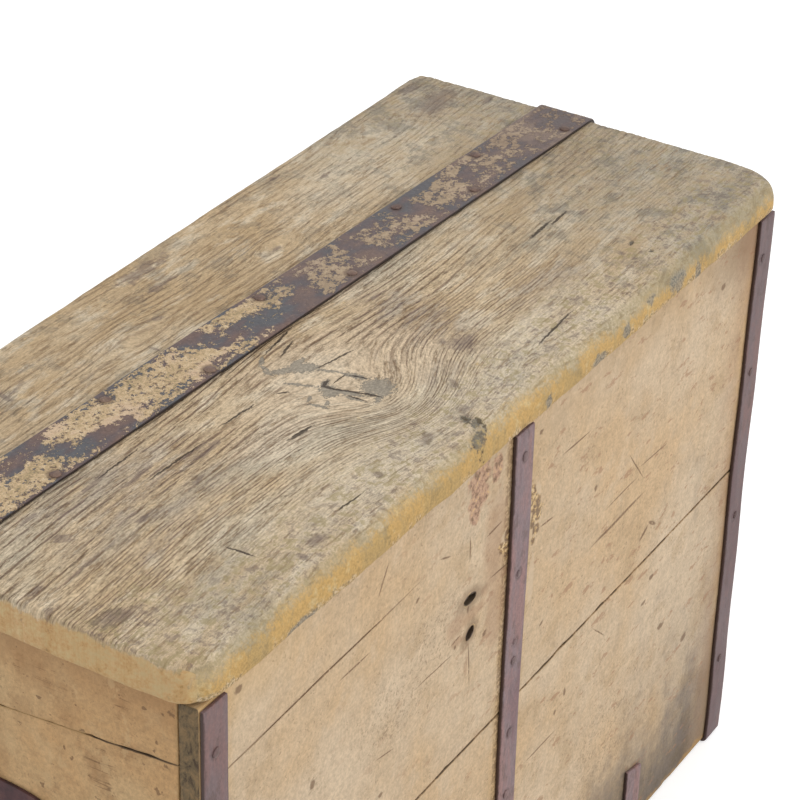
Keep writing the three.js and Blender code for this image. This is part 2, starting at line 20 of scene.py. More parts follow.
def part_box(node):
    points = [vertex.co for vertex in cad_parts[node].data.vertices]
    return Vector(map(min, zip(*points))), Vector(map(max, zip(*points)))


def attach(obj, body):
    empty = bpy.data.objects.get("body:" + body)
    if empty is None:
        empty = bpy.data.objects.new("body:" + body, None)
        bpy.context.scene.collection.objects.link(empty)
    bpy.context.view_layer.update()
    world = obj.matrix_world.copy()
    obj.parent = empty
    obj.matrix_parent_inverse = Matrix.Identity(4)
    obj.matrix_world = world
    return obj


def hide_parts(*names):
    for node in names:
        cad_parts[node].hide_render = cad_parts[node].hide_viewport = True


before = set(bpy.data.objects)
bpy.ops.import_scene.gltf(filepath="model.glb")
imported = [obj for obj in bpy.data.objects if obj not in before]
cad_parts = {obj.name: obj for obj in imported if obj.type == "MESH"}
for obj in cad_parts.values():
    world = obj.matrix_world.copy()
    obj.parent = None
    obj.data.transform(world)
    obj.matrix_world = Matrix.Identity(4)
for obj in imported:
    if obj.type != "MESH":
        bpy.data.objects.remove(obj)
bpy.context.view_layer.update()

LOG = logging.getLogger("ship_chest")
MM = 0.001
# A tenth nail near the left end of the lid's strap, spaced as the nine nails of the part are.
LID_END_NAIL = (-337.0 * MM, 62.3 * MM)

Tone = tuple[float, float, float]
Socket = bpy.types.NodeSocket


def tone(red: int, green: int, blue: int) -> Tone:
    """Turns a colour as seen on a screen into the linear colour that a shader takes.

    Args:
        red: Red from 0 to 255.
        green: Green from 0 to 255.
        blue: Blue from 0 to 255.

    Returns:
        The linear colour.
    """
    def linear(value: int) -> float:
        """Undoes the screen's curve for one channel."""
        share = value / 255
        return share / 12.92 if share <= 0.04045 else ((share + 0.055) / 1.055) ** 2.4
    return linear(red), linear(green), linear(blue)


@dataclass(frozen=True)
class Signal:
    """A socket that carries a number, so that plain arithmetic on it adds Math nodes."""

    graph: "Graph"
    socket: Socket

    def __add__(self, other: "Value") -> "Signal":
        """Adds a number or a signal."""
        return self.graph.math("ADD", self, other)

    def __radd__(self, other: "Value") -> "Signal":
        """Adds this signal to a number."""
        return self.graph.math("ADD", other, self)

    def __sub__(self, other: "Value") -> "Signal":
        """Subtracts a number or a signal."""
        return self.graph.math("SUBTRACT", self, other)

    def __rsub__(self, other: "Value") -> "Signal":
        """Subtracts this signal from a number."""
        return self.graph.math("SUBTRACT", other, self)

    def __mul__(self, other: "Value") -> "Signal":
        """Multiplies by a number or a signal."""
        return self.graph.math("MULTIPLY", self, other)

    def __rmul__(self, other: "Value") -> "Signal":
        """Multiplies a number by this signal."""
        return self.graph.math("MULTIPLY", other, self)

    def most(self, other: "Value") -> "Signal":
        """The larger of the two."""
        return self.graph.math("MAXIMUM", self, other)

    def least(self, other: "Value") -> "Signal":
        """The smaller of the two."""
        return self.graph.math("MINIMUM", self, other)

    def size(self) -> "Signal":
        """The value without its sign."""
        return self.graph.math("ABSOLUTE", self)

    def step(self, start: float, end: float) -> "Signal":
        """A soft step from 0 at start to 1 at end. It falls where start is above end.

        Args:
            start: Where the step is still 0.
            end: Where it has reached 1.

        Returns:
            The step, from 0 to 1.
        """
        low, high = min(start, end), max(start, end)
        ends = (0.0, 1.0) if start < end else (1.0, 0.0)
        return self.graph.signal(
            "ShaderNodeMapRange",
            {"interpolation_type": "SMOOTHSTEP"},
            {"Value": self, "From Min": low, "From Max": high, "To Min": ends[0], "To Max": ends[1]},
            "Result",
        )


Value = Signal | float
Feed = Signal | Socket | float | int | bool | str | tuple


@dataclass(frozen=True)
class Mark:
    """A small place on a face, in millimetres: its middle, half its length and width, and its turn."""

    across: float
    up: float
    long: float
    wide: float
    turn: float = 0.0


def marks(*rows: tuple[float, ...]) -> tuple[Mark, ...]:
    """Turns rows of numbers into marks."""
    return tuple(Mark(*row) for row in rows)


class Graph:
    """A shader or geometry node tree that nodes are added to by their type."""

    def __init__(self, tree: bpy.types.NodeTree) -> None:
        """Starts on a tree.

        Args:
            tree: The tree to add to.
        """
        self.tree = tree
        self.shading = tree.bl_idname == "ShaderNodeTree"

    @staticmethod
    def find(sockets: bpy.types.bpy_prop_collection, key: str | int) -> Socket:
        """Finds a socket by number, by identifier or by name.

        Args:
            sockets: A node's inputs or outputs.
            key: The number, identifier or name.

        Returns:
            The socket.
        """
        if isinstance(key, int):
            return sockets[key]
        for socket in sockets:
            if socket.identifier == key:
                return socket
        return next(socket for socket in sockets if socket.name == key and socket.enabled)

    def feed(self, socket: Socket, value: Feed) -> None:
        """Links a socket or sets its own value.

        Args:
            socket: The input socket.
            value: A signal or socket to link, or a plain value.
        """
        source = value.socket if isinstance(value, Signal) else value
        if isinstance(source, Socket):
            self.tree.links.new(source, socket)
        elif isinstance(source, tuple) and socket.type == "RGBA":
            socket.default_value = (*source, 1.0)
        else:
            socket.default_value = source

    def add(self, kind: str, settings: dict[str, object] | None = None,
            sockets: dict[str | int, Feed] | None = None) -> bpy.types.Node:
        """Adds a node.

        Args:
            kind: The node's type.
            settings: Its settings, which are set first. "stops" holds a ramp's stops.
            sockets: Values or links for its inputs.

        Returns:
            The node.
        """
        node = self.tree.nodes.new(kind)
        for name, value in (settings or {}).items():
            if name == "stops":
                self.set_stops(node, value)
            else:
                setattr(node, name, value)
        for name, value in (sockets or {}).items():
            self.feed(self.find(node.inputs, name), value)
        return node

    @staticmethod
    def set_stops(node: bpy.types.Node, stops: Sequence[tuple[float, Tone]]) -> None:
        """Sets the stops of a colour ramp.

        Args:
            node: The ramp node.
            stops: Places from 0 to 1 with their colours.
        """
        elements = node.color_ramp.elements
        while len(elements) < len(stops):
            elements.new(0.5)
        for element, (place, color) in zip(elements, stops):
            element.position = place
            element.color = (*color, 1.0)

    def out(self, kind: str, settings: dict[str, object] | None = None,
            sockets: dict[str | int, Feed] | None = None, output: str | int = 0) -> Socket:
        """Adds a node and gives one of its outputs."""
        return self.find(self.add(kind, settings, sockets).outputs, output)

    def signal(self, kind: str, settings: dict[str, object] | None = None,
               sockets: dict[str | int, Feed] | None = None, output: str | int = 0) -> Signal:
        """Adds a node and gives one of its outputs as a signal."""
        return Signal(self, self.out(kind, settings, sockets, output))

    def math(self, operation: str, *values: Value) -> Signal:
        """Adds a Math node on numbers or signals."""
        return self.signal("ShaderNodeMath", {"operation": operation}, dict(enumerate(values)))

    def vector(self, operation: str, *values: Feed) -> Socket:
        """Adds a Vector Math node that gives a vector."""
        return self.out("ShaderNodeVectorMath", {"operation": operation}, dict(enumerate(values)), "Vector")

    def dot(self, one: Feed, two: Feed) -> Signal:
        """The dot product of two vectors."""
        return self.signal("ShaderNodeVectorMath", {"operation": "DOT_PRODUCT"}, {0: one, 1: two}, "Value")

    def scaled(self, vector: Feed, amount: Value) -> Socket:
        """A vector or a colour times a number."""
        sockets = {0: vector, "Scale": amount}
        return self.out("ShaderNodeVectorMath", {"operation": "SCALE"}, sockets, "Vector")

    def mix(self, amount: Value, base: Feed, top: Feed, blend: str = "MIX") -> Socket:
        """Mixes two colours.

        Args:
            amount: How much of the top colour, from 0 to 1.
            base: The colour at 0.
            top: The colour at 1.
            blend: The way they are mixed.

        Returns:
            The mixed colour.
        """
        return self.out(
            "ShaderNodeMix",
            {"data_type": "RGBA", "blend_type": blend, "clamp_factor": True},
            {"Factor_Float": amount, "A_Color": base, "B_Color": top},
            "Result_Color",
        )

    def ramp(self, amount: Value, *stops: tuple[float, Tone]) -> Socket:
        """A colour ramp over a number."""
        return self.out("ShaderNodeValToRGB", {"stops": stops}, {"Fac": amount}, "Color")

    def parts(self, vector: Feed) -> tuple[Signal, Signal, Signal]:
        """The three parts of a vector."""
        node = self.add("ShaderNodeSeparateXYZ", {}, {0: vector})
        return tuple(Signal(self, output) for output in node.outputs)

    def joined(self, *values: Value) -> Socket:
        """A vector from its parts."""
        return self.out("ShaderNodeCombineXYZ", {}, dict(enumerate(values)))

    def place(self) -> Socket:
        """The place on the piece: Object coordinates in a shader, the position in geometry.

        Returns:
            The place.
        """
        if self.shading:
            return self.out("ShaderNodeTexCoord", {}, {}, "Object")
        return self.out("GeometryNodeInputPosition")

    def stored(self, name: str, kind: str, output: str) -> Socket:
        """A value stored on the mesh.

        Args:
            name: The attribute's name.
            kind: Its type, for geometry.
            output: The output that gives it, for a shader.

        Returns:
            The value.
        """
        if self.shading:
            return self.out("ShaderNodeAttribute", {"attribute_name": name}, {}, output)
        return self.out("GeometryNodeInputNamedAttribute", {"data_type": kind}, {"Name": name}, "Attribute")

    def attribute(self, name: str) -> Signal:
        """A number stored on the mesh."""
        return Signal(self, self.stored(name, "FLOAT", "Fac"))

    def attribute_vector(self, name: str) -> Socket:
        """A vector stored on the mesh."""
        return self.stored(name, "FLOAT_VECTOR", "Vector")

    def noise(self, place: Feed, stretch: float | tuple[float, float, float], detail: float = 2.0,
              rough: float = 0.5, seed: float = 0.0, warp: float = 0.0) -> Signal:
        """Soft noise of about 0.2 to 0.8.

        Args:
            place: Where it is read.
            stretch: How often it repeats in a metre, for all axes or for each.
            detail: How many finer layers it has.
            rough: How strong these are.
            seed: Moves the pattern, so that two noises differ.
            warp: How much it is bent by itself.

        Returns:
            The noise.
        """
        scale = stretch if isinstance(stretch, tuple) else (stretch,) * 3
        shift = (seed * 7.31, seed * 3.17 + 1.9, seed * 5.77)
        if self.shading:
            vector = self.out("ShaderNodeMapping", {}, {"Vector": place, "Location": shift, "Scale": scale})
        else:
            vector = self.vector("MULTIPLY_ADD", place, scale, shift)
        sockets = {"Vector": vector, "Scale": 1.0, "Detail": detail, "Roughness": rough, "Distortion": warp}
        return self.signal("ShaderNodeTexNoise", {}, sockets, 0)

    def bent(self, place: Feed, across: Signal, up: Signal, stretch: float, amount: float,
             seed: float = 0.0) -> Socket:
        """A flat place moved about by noise.

        Args:
            place: The place that the noise is read at.
            across: The flat place's first part.
            up: Its second part.
            stretch: How often the noise repeats in a metre.
            amount: How far it moves, in metres.
            seed: Moves the pattern.

        Returns:
            The moved place.
        """
        one = self.noise(place, stretch, 2.0, 0.5, seed + 40)
        two = self.noise(place, stretch, 2.0, 0.5, seed + 70)
        return self.joined(across + (2 * amount) * (one - 0.5), up + (2 * amount) * (two - 0.5), 0.0)

    def nearest(self, plane: Feed, places: Sequence[Mark]) -> Signal:
        """How far the nearest of some marks is, as a share of its size: 1 is its edge.

        Args:
            plane: A vector whose first two parts lie in the marks' face.
            places: The marks.

        Returns:
            The distance.
        """
        found = None
        for mark in places:
            middle = (mark.across * MM, mark.up * MM)
            if mark.turn:
                turn = math.radians(mark.turn)
                ways = ((math.cos(turn), math.sin(turn)), (-math.sin(turn), math.cos(turn)))
                along, over = (self.aligned(plane, way, reach * MM, middle)
                               for way, reach in zip(ways, (mark.long, mark.wide)))
                square = self.math("MULTIPLY_ADD", along, along, over * over)
            else:
                shares = (1 / (mark.long * MM), 1 / (mark.wide * MM), 0.0)
                start = (-middle[0] * shares[0], -middle[1] * shares[1], 0.0)
                local = self.vector("MULTIPLY_ADD", plane, shares, start)
                square = self.dot(local, local)
            found = square if found is None else found.least(square)
        return self.math("SQRT", found)

    def aligned(self, plane: Feed, way: tuple[float, float], reach: float,
                middle: tuple[float, float]) -> Signal:
        """How far a flat place lies along a direction from a middle, as a share of a reach."""
        axis = (way[0] / reach, way[1] / reach, 0.0)
        return self.dot(plane, axis) - (axis[0] * middle[0] + axis[1] * middle[1])

    def shade(self, color: Feed, amount: Value, low: float, high: float) -> Socket:
        """A colour times a number that goes from low to high as the amount goes from 0 to 1."""
        dim = self.mix(1.0, color, (low,) * 3, "MULTIPLY")
        return self.mix(amount, dim, (high / low,) * 3, "MULTIPLY")


def empty_graph(owner: bpy.types.Material | bpy.types.World) -> Graph:
    """Empties the node tree of a material or of the world and starts on it.

    Args:
        owner: The material or the world.

    Returns:
        The graph on the emptied tree.
    """
    owner.use_nodes = True
    owner.node_tree.nodes.clear()
    return Graph(owner.node_tree)


@dataclass(frozen=True)
class Surface:
    """What a finish says about a surface at each place."""

    color: Feed
    roughness: Value
    height: Signal
    metallic: Value = 0.0
    depth: float = 0.2 * MM
    specular: float = 0.4


class Finish:
    """A finish: one material for each name, built when it is first asked for."""

    name = "finish"
    slot = "slot"
    made: dict[str, bpy.types.Material] = {}

    def surface(self, g: Graph) -> Surface:
        """Builds the nodes of the finish."""
        raise NotImplementedError

    def material(self) -> bpy.types.Material:
        """Gives the material of this finish.

        Returns:
            The material, which is built once.
        """
        if self.name not in Finish.made:
            material = bpy.data.materials.new(self.name)
            graph = empty_graph(material)
            surface = self.surface(graph)
            normal = graph.out("ShaderNodeBump", {}, {
                "Strength": 1.0, "Distance": surface.depth, "Height": surface.height})
            shader = graph.out("ShaderNodeBsdfPrincipled", {}, {
                "Base Color": surface.color,
                "Roughness": surface.roughness,
                "Metallic": surface.metallic,
                "Specular IOR Level": surface.specular,
                "Normal": normal,
            }, "BSDF")
            graph.add("ShaderNodeOutputMaterial", {}, {"Surface": shader})
            Finish.made[self.name] = material
        return Finish.made[self.name]


@dataclass(frozen=True)
class BareWood(Finish):
    """Bare old softwood, as inside the case."""

    name: str = "bare_wood"
    slot: str = "plain_wood"
    light: Tone = tone(178, 150, 112)
    pale: Tone = tone(192, 168, 130)
    dark: Tone = tone(142, 112, 78)
    line: Tone = tone(108, 80, 52)
    along_y: bool = False

    def color(self, g: Graph, place: Feed) -> tuple[Socket, Signal]:
        """Builds the wood's colour and its fine height.

        Args:
            g: The graph.
            place: The place on the piece.

        Returns:
            The colour and the height.
        """
        drift = g.noise(place, self.stretch(1.8, 15.0), 3.0, 0.6, 3.1)
        x, y, z = g.parts(place)
        rings = g.math("SINE", ((x if self.along_y else y) + z) * 520.0 + 30.0 * drift)
        base = g.mix(0.5 * rings.step(-0.3, 1.0) * drift.step(0.36, 0.54), self.light, self.dark)
        base = g.mix(0.7 * drift.step(0.5, 0.66), base, self.pale)
        fibres = g.noise(place, self.stretch(30.0, 620.0), 3.0, 0.7, 5.2)
        lines = g.noise(place, self.stretch(7.0, 210.0), 3.0, 0.6, 8.4).step(0.42, 0.36)
        lined = g.mix(0.5 * lines, base, self.line)
        return g.shade(lined, fibres.step(0.3, 0.7), 0.84, 1.15), fibres - 0.8 * lines

    def stretch(self, along: float, over: float) -> tuple[float, float, float]:
        """How often a noise repeats along the grain and across it."""
        return (over, along, over) if self.along_y else (along, over, over)

    def surface(self, g: Graph) -> Surface:
        """Builds the nodes of bare wood."""
        color, height = self.color(g, g.place())
        return Surface(color, 0.82, height)


SLOT_MARKS = marks((-64, 384, 9, 4.5, -4), (-62.5, 356, 6.5, 5, 35))
STAIN_MARKS = marks(
    (-80, 372, 14, 9), (-78, 358, 9, 6), (-60, 370, 22, 6), (-40, 343, 7, 5), (-45, 379, 5, 6, 40),
    (-24, 380, 12, 4), (-66, 332, 3, 12), (-30, 352, 14, 30), (-34, 415, 16, 46))
SCUFF_MARKS = marks((-57, 472, 17, 9), (-60, 460, 12, 9), (-63, 450, 6, 9), (-38, 470, 7, 10))
CHIP_MARKS = marks(
    (-19, 408, 4, 5), (-22, 400, 5, 4), (-18, 394, 3, 5), (-27, 404, 3, 2), (14, 423, 3, 5, 10),
    (18, 412, 5, 7), (23, 402, 5, 6), (16, 400, 4, 5), (21, 391, 4, 4), (17, 383, 3, 3))
PALE_MARKS = marks((20, 421, 5, 8, 10), (21, 402, 7, 12), (-23, 407, 4, 6), (18, 352, 4, 22))
SCRATCH_MARKS = marks(
    (-242, 430, 90, 0.8, 2.2), (-201, 415.5, 13, 0.6, 1), (72, 431.5, 15, 0.6, -1),
    (-37, 422.5, 8, 0.7, 4), (127, 329, 10, 0.9), (-67, 424, 7, 0.6, -88), (168, 362, 16, 0.5, -52),
    (196, 357, 16, 0.5, -3), (48, 190, 17, 0.6), (-171, 461, 9, 0.7, 60), (-106, 352.5, 18, 0.4, -1),
    (-62, 330, 14, 0.6, -84), (128, 241, 10, 0.5, -42), (-26, 385, 10, 0.6, -2), (36, 388, 7, 0.7, -6),
    (-98, 435, 5, 0.6, -20), (145, 329.5, 31, 1.1, 2.5), (148, 350, 18, 0.5, 2), (190, 292, 6, 1.4, 30),
    (203, 294, 6, 1.2, -35), (-164, 324, 8, 0.4, -12), (-80, 361, 5, 0.5, 8))
SPOT_MARKS = marks(
    (106, 377, 2.4, 2.6), (-321.5, 475, 4, 2.8), (210, 242, 4, 2.2), (-81, 356, 1.6, 2), (200, 224, 4, 2),
    (67, 208, 2, 2.5), (80, 218, 2, 4), (280, 144, 5, 4, 20), (-130, 422, 3, 1.6, 30), (-246, 356, 3, 4),
    (-168, 294, 3, 2), (37, 304, 3, 1.4, 20), (345, 317, 4, 6), (20, 467, 3, 1.6), (235, 182, 6, 3),
    (290, 452, 4, 3), (-43, 344, 3, 2.4, 30), (-66, 377, 1.2, 3))
SPECKLE_ZONES = marks((-105, 378, 44, 34), (-158, 352, 46, 34), (-245, 356, 10, 12), (150, 130, 60, 50))
END_CRACKS = marks((-112, 438.3, 28, 1.0, -6), (-84, 435.3, 12, 0.6, -6))


class Side(Enum):
    """Which way a board's painted face looks."""

    FRONT = "front"
    BACK = "back"
    LEFT = "left"
    RIGHT = "right"


@dataclass(frozen=True)
class BoardPaint(Finish):
    """Old tan paint on a board, worn to bare wood at its edges and bare inside the case."""

    name: str = "front_paint_old"
    slot: str = "front_paint"
    main: Tone = tone(203, 178, 146)
    warm: Tone = tone(203, 173, 135)
    pale: Tone = tone(209, 186, 156)
    # A darker streak tone, also used as painted shade under the lid.
    streak_and_shade: Tone = tone(184, 156, 120)
    yellow: Tone = tone(214, 174, 112)
    grime: Tone = tone(108, 95, 80)
    # Multiplying tints for the darker right and lower part of the front: partly grime, partly painted
    # shade.
    warm_grime_and_shade: Tone = (0.27, 0.27, 0.28)
    cool_grime_and_shade: Tone = (0.38, 0.39, 0.45)
    brown: Tone = tone(112, 84, 58)
    dark: Tone = tone(58, 44, 34)
    rust: Tone = tone(160, 120, 90)
    scuff: Tone = tone(166, 124, 100)
    pink: Tone = tone(196, 158, 132)
    cream: Tone = tone(222, 200, 162)
    edge: Tone = tone(176, 138, 84)
    sawn: Tone = tone(98, 84, 62)
    rotten: Tone = tone(132, 108, 76)
    front: bool = True
    along_y: bool = False

    def surface(self, g: Graph) -> Surface:
        """Builds the nodes of the paint.

        Args:
            g: The graph.

        Returns:
            What the finish says about the surface.
        """
        place = g.place()
        x, y, z = g.parts(place)
        coat = g.attribute("coat")
        edge = g.attribute("edge")
        cloud = g.noise(place, 8.0, 3.0, 0.6, 1.0)
        patch = g.noise(place, 30.0, 4.0, 0.65, 2.2)
        brush = g.noise(place, (150.0, 150.0, 90.0), 4.0, 0.8, 3.7, 0.6)
        wipe = g.noise(place, (30.0, 30.0, 150.0), 4.0, 0.75, 4.1, 0.8)
        speck = g.noise(place, 430.0, 3.0, 0.75, 6.6)
        color = g.ramp(cloud, (0.36, self.warm), (0.5, self.main), (0.62, self.pale))
        color = g.mix(0.5 * patch.step(0.52, 0.68), color, self.streak_and_shade)
        color = g.mix(0.4 * patch.step(0.44, 0.32), color, self.pale)
        grain = 0.34 * brush.step(0.3, 0.7) + 0.18 * wipe.step(0.3, 0.7) + 0.48 * speck.step(0.32, 0.68)
        color = g.shade(color, grain, 0.76, 1.21)
        fleck = g.noise(place, 420.0, 3.0, 0.7, 9.3).step(0.6, 0.66) * patch.step(0.42, 0.54)
        color = g.mix(0.4 * fleck, color, self.brown)
        height = 0.4 * brush + 0.4 * speck + 0.3 * wipe
        if self.front:
            color, height = self.marked(g, place, x, z, color, height)
        else:
            color, height = self.aged(g, place, z, patch, color, height)
        bitten = g.noise(place, 90.0, 4.0, 0.7, 12.0)
        worn = (edge + 1.0 * (bitten - 0.5)).step(0.74, 0.9)
        wood, fine = BareWood(along_y=self.along_y).color(g, place)
        color = g.mix(0.75 * worn, color, g.mix(0.5, wood, self.edge))
        thin = (coat + 0.25 * (bitten - 0.5)).step(0.6, 0.4)
        color = g.mix(thin, color, wood)
        if self.front:
            sawn = x.step(-0.3585, -0.3594).most(x.step(0.3585, 0.3594))
            rot = g.ramp(brush, (0.38, self.dark), (0.47, self.sawn), (0.62, self.rotten))
            color = g.mix(0.92 * sawn, color, rot)
            # Painted shade in the two slots, fading out just round their edges.
            slot_shade = g.nearest(g.joined(x, z, 0.0), SLOT_MARKS).step(1.0, 0.8)
            gap = edge.step(0.78, 0.94) * (z - 0.262).size().step(0.013, 0.01) * bitten.step(0.3, 0.55)
            color = g.mix(0.8 * gap, color, g.mix(bitten.step(0.44, 0.56), self.brown, self.dark))
            color = g.mix(0.92 * slot_shade, color, self.dark)
        else:
            strayed = g.bent(place, y, z, 120.0, 0.7 * MM, 8.0)
            joint = (g.nearest(strayed, END_CRACKS) + bitten - 0.5).step(1.3, 0.6)
            color = g.mix(0.85 * joint, color, self.dark)
        height = height - 0.5 * worn + fine * thin
        return Surface(color, 0.6 + 0.2 * patch + 0.1 * thin, height, depth=0.15 * MM, specular=0.35)

    def aged(self, g: Graph, place: Feed, z: Signal, patch: Signal, color: Feed,
             height: Signal) -> tuple[Socket, Signal]:
        """Adds grime at the foot, long scratches, small knocks and painted shade under the lid, as on the
        ends and the back.

        Args:
            g: The graph.
            place: The place on the piece.
            z: Its third part.
            patch: Middling noise.
            color: The paint's colour so far.
            height: Its height so far.

        Returns:
            The colour and the height with the wear.
        """
        smear = g.noise(place, (24.0, 24.0, 12.0), 5.0, 0.7, 18.0)
        foot = (z.step(0.16, 0.0) + 1.8 * (smear - 0.5)).step(0.25, 1.1)
        color = g.mix(0.55 * foot, color, self.grime)
        color = g.mix(0.3 * smear.step(0.52, 0.62), color, self.streak_and_shade)
        # Painted shade under the lid's overhang, along the top of the wall.
        color = g.mix(0.4 * z.step(0.45, 0.482), color, self.streak_and_shade)
        line = g.noise(place, (5.0, 5.0, 120.0), 2.0, 0.5, 22.0, 0.3) - 0.5
        scratch = line.size().step(0.006, 0.002) * patch.step(0.55, 0.6)
        color = g.mix(0.6 * scratch, color, self.brown)
        knock = g.noise(place, 110.0, 3.0, 0.6, 24.0).step(0.66, 0.7)
        color = g.mix(0.7 * knock, color, self.brown)
        rubbed = g.noise(place, (60.0, 60.0, 36.0), 4.0, 0.75, 26.0).step(0.62, 0.66)
        color = g.mix(0.5 * rubbed, color, self.pale)
        return color, height - 0.8 * scratch - 1.0 * knock

    def marked(self, g: Graph, place: Feed, x: Signal, z: Signal, color: Feed,
               height: Signal) -> tuple[Socket, Signal]:
        """Adds the grime, stains, scuffs, chips and scratches of the front, with painted shade under the
        lid and beside the centre strap, and grime with painted shade to the right and low down.

        Args:
            g: The graph.
            place: The place on the piece.
            x: Its first part.
            z: Its third part.
            color: The paint's colour so far.
            height: Its height so far.

        Returns:
            The colour and the height with the marks.
        """
        loose = g.bent(place, x, z, 70.0, 4.0 * MM, 1.3)
        tight = g.bent(place, x, z, 240.0, 1.3 * MM, 2.6)
        fine = g.bent(place, x, z, 30.0, 0.8 * MM, 4.4)
        blot = g.noise(place, 50.0, 5.0, 0.72, 14.0)
        crumb = g.noise(place, 380.0, 3.0, 0.7, 16.0)
        beside = (x + 0.006).size().least((x + 0.348).size()).least((x - 0.35).size()).step(0.024, 0.012)
        color = g.mix(0.35 * beside * blot.step(0.34, 0.56), color, self.yellow)
        # Painted shade under the lid's overhang, stronger from the middle to the right.
        under = z.step(0.435, 0.482) * (0.2 + blot).step(0.5, 0.8) * (0.5 + x).step(0.3, 0.6)
        color = g.mix(0.5 * under, color, self.streak_and_shade)
        color = g.mix(0.35 * z.step(0.44, 0.485) * x.step(-0.2, -0.32), color, self.yellow)
        # Painted shadow under the lid at the right end of the front, in brown.
        color = g.mix(0.6 * z.step(0.42, 0.47) * x.step(0.24, 0.33), color, self.brown)
        smear = g.noise(place, (26.0, 26.0, 9.0), 4.0, 0.65, 18.0)
        # Darker to the right and low down, by the tint: partly grime, partly painted shade.
        low = ((x - 0.9 * z).step(-0.1, 0.34) + 0.9 * (smear - 0.5) + 0.8 * (blot - 0.5)).step(0.0, 1.5)
        grime_and_shade = g.mix(blot.step(0.42, 0.6), self.warm_grime_and_shade, self.cool_grime_and_shade)
        color = g.mix(0.72 * low, color, grime_and_shade, "MULTIPLY")
        # Darker again towards the foot and to the right, by the same tint.
        foot = (z.step(0.15, 0.0) + 1.2 * (smear - 0.5) + 1.2 * (blot - 0.5)).step(0.0, 1.1)
        color = g.mix(0.7 * foot * (0.3 + x.step(-0.1, 0.2)) * x.step(0.345, 0.3), color, grime_and_shade, "MULTIPLY")
        right = x.step(0.29, 0.35) * (0.3 + smear).step(0.6, 0.9)
        color = g.mix(0.5 * right, color, self.rust)
        color = g.mix(0.4 * x.step(0.31, 0.342) * z.step(0.14, 0.04), color, self.grime)
        sill = (z + 0.03 * (blot - 0.5)).step(0.011, 0.005)
        color = g.mix(0.8 * sill, color, self.edge)
        dent = g.noise(place, (55.0, 55.0, 130.0), 3.0, 0.7, 24.0).step(0.6, 0.68) * x.step(-0.35, 0.1)
        color = g.mix(0.6 * dent, color, self.rust)
        # A dark line beside the centre strap's left edge: partly rust bleed, partly painted shadow of the
        # strap's thickness.
        bleed_and_shadow = (x + 0.0155 + 0.00875 * z).size().step(0.0065, 0.003) * crumb.step(0.4, 0.55)
        color = g.mix(0.6 * bleed_and_shadow, color, self.brown)
        speckle = g.nearest(loose, SPECKLE_ZONES).step(1.2, 0.5) * crumb.step(0.54, 0.64)
        color = g.mix(0.4 * speckle, color, self.brown)
        stain = (g.nearest(loose, STAIN_MARKS) + 1.4 * (blot - 0.5)).step(1.15, 0.5)
        color = g.mix(0.42 * stain, color, self.rust)
        pale = (g.nearest(tight, PALE_MARKS) + 0.9 * (crumb - 0.5)).step(1.1, 0.8)
        color = g.mix(0.6 * pale, color, self.pale)
        rough = g.noise(place, 240.0, 4.0, 0.75, 17.0)
        scuff = (g.nearest(loose, SCUFF_MARKS) + 2.4 * (blot - 0.5)).step(1.3, 0.8)
        torn = g.ramp(rough, (0.42, self.brown), (0.46, self.scuff), (0.58, self.pink), (0.64, self.yellow))
        color = g.mix(0.8 * scuff, color, torn)
        chip = (g.nearest(tight, CHIP_MARKS) + 3.0 * (blot - 0.5)).step(1.4, 0.9)
        broken = g.ramp(rough, (0.49, self.brown), (0.54, self.yellow), (0.62, self.cream))
        color = g.mix(0.8 * chip, color, broken)
        scratch = g.nearest(fine, SCRATCH_MARKS).step(1.6, 0.8) * crumb.step(0.3, 0.45)
        color = g.mix(0.8 * scratch, color, self.brown)
        spot = (g.nearest(tight, SPOT_MARKS) + 0.9 * (crumb - 0.5)).step(1.15, 0.6)
        color = g.mix(0.75 * spot, color, self.brown)
        grease = (g.nearest(tight, SLOT_MARKS) + 2.6 * (blot - 0.5)).step(2.6, 1.0)
        color = g.mix(0.55 * grease, color, self.brown)
        pit = chip.most(scuff) * rough.step(0.5, 0.4)
        return color, height - 0.9 * scratch - 1.2 * pit - 0.4 * spot - 0.7 * dent


@dataclass(frozen=True)
class EndPaint(BoardPaint):
    """The darker paint of the end walls."""

    name: str = "end_paint_old"
    slot: str = "end_paint"
    main: Tone = tone(196, 158, 112)
    warm: Tone = tone(188, 146, 98)
    pale: Tone = tone(202, 170, 126)
    streak_and_shade: Tone = tone(160, 120, 80)
    front: bool = False
    along_y: bool = True


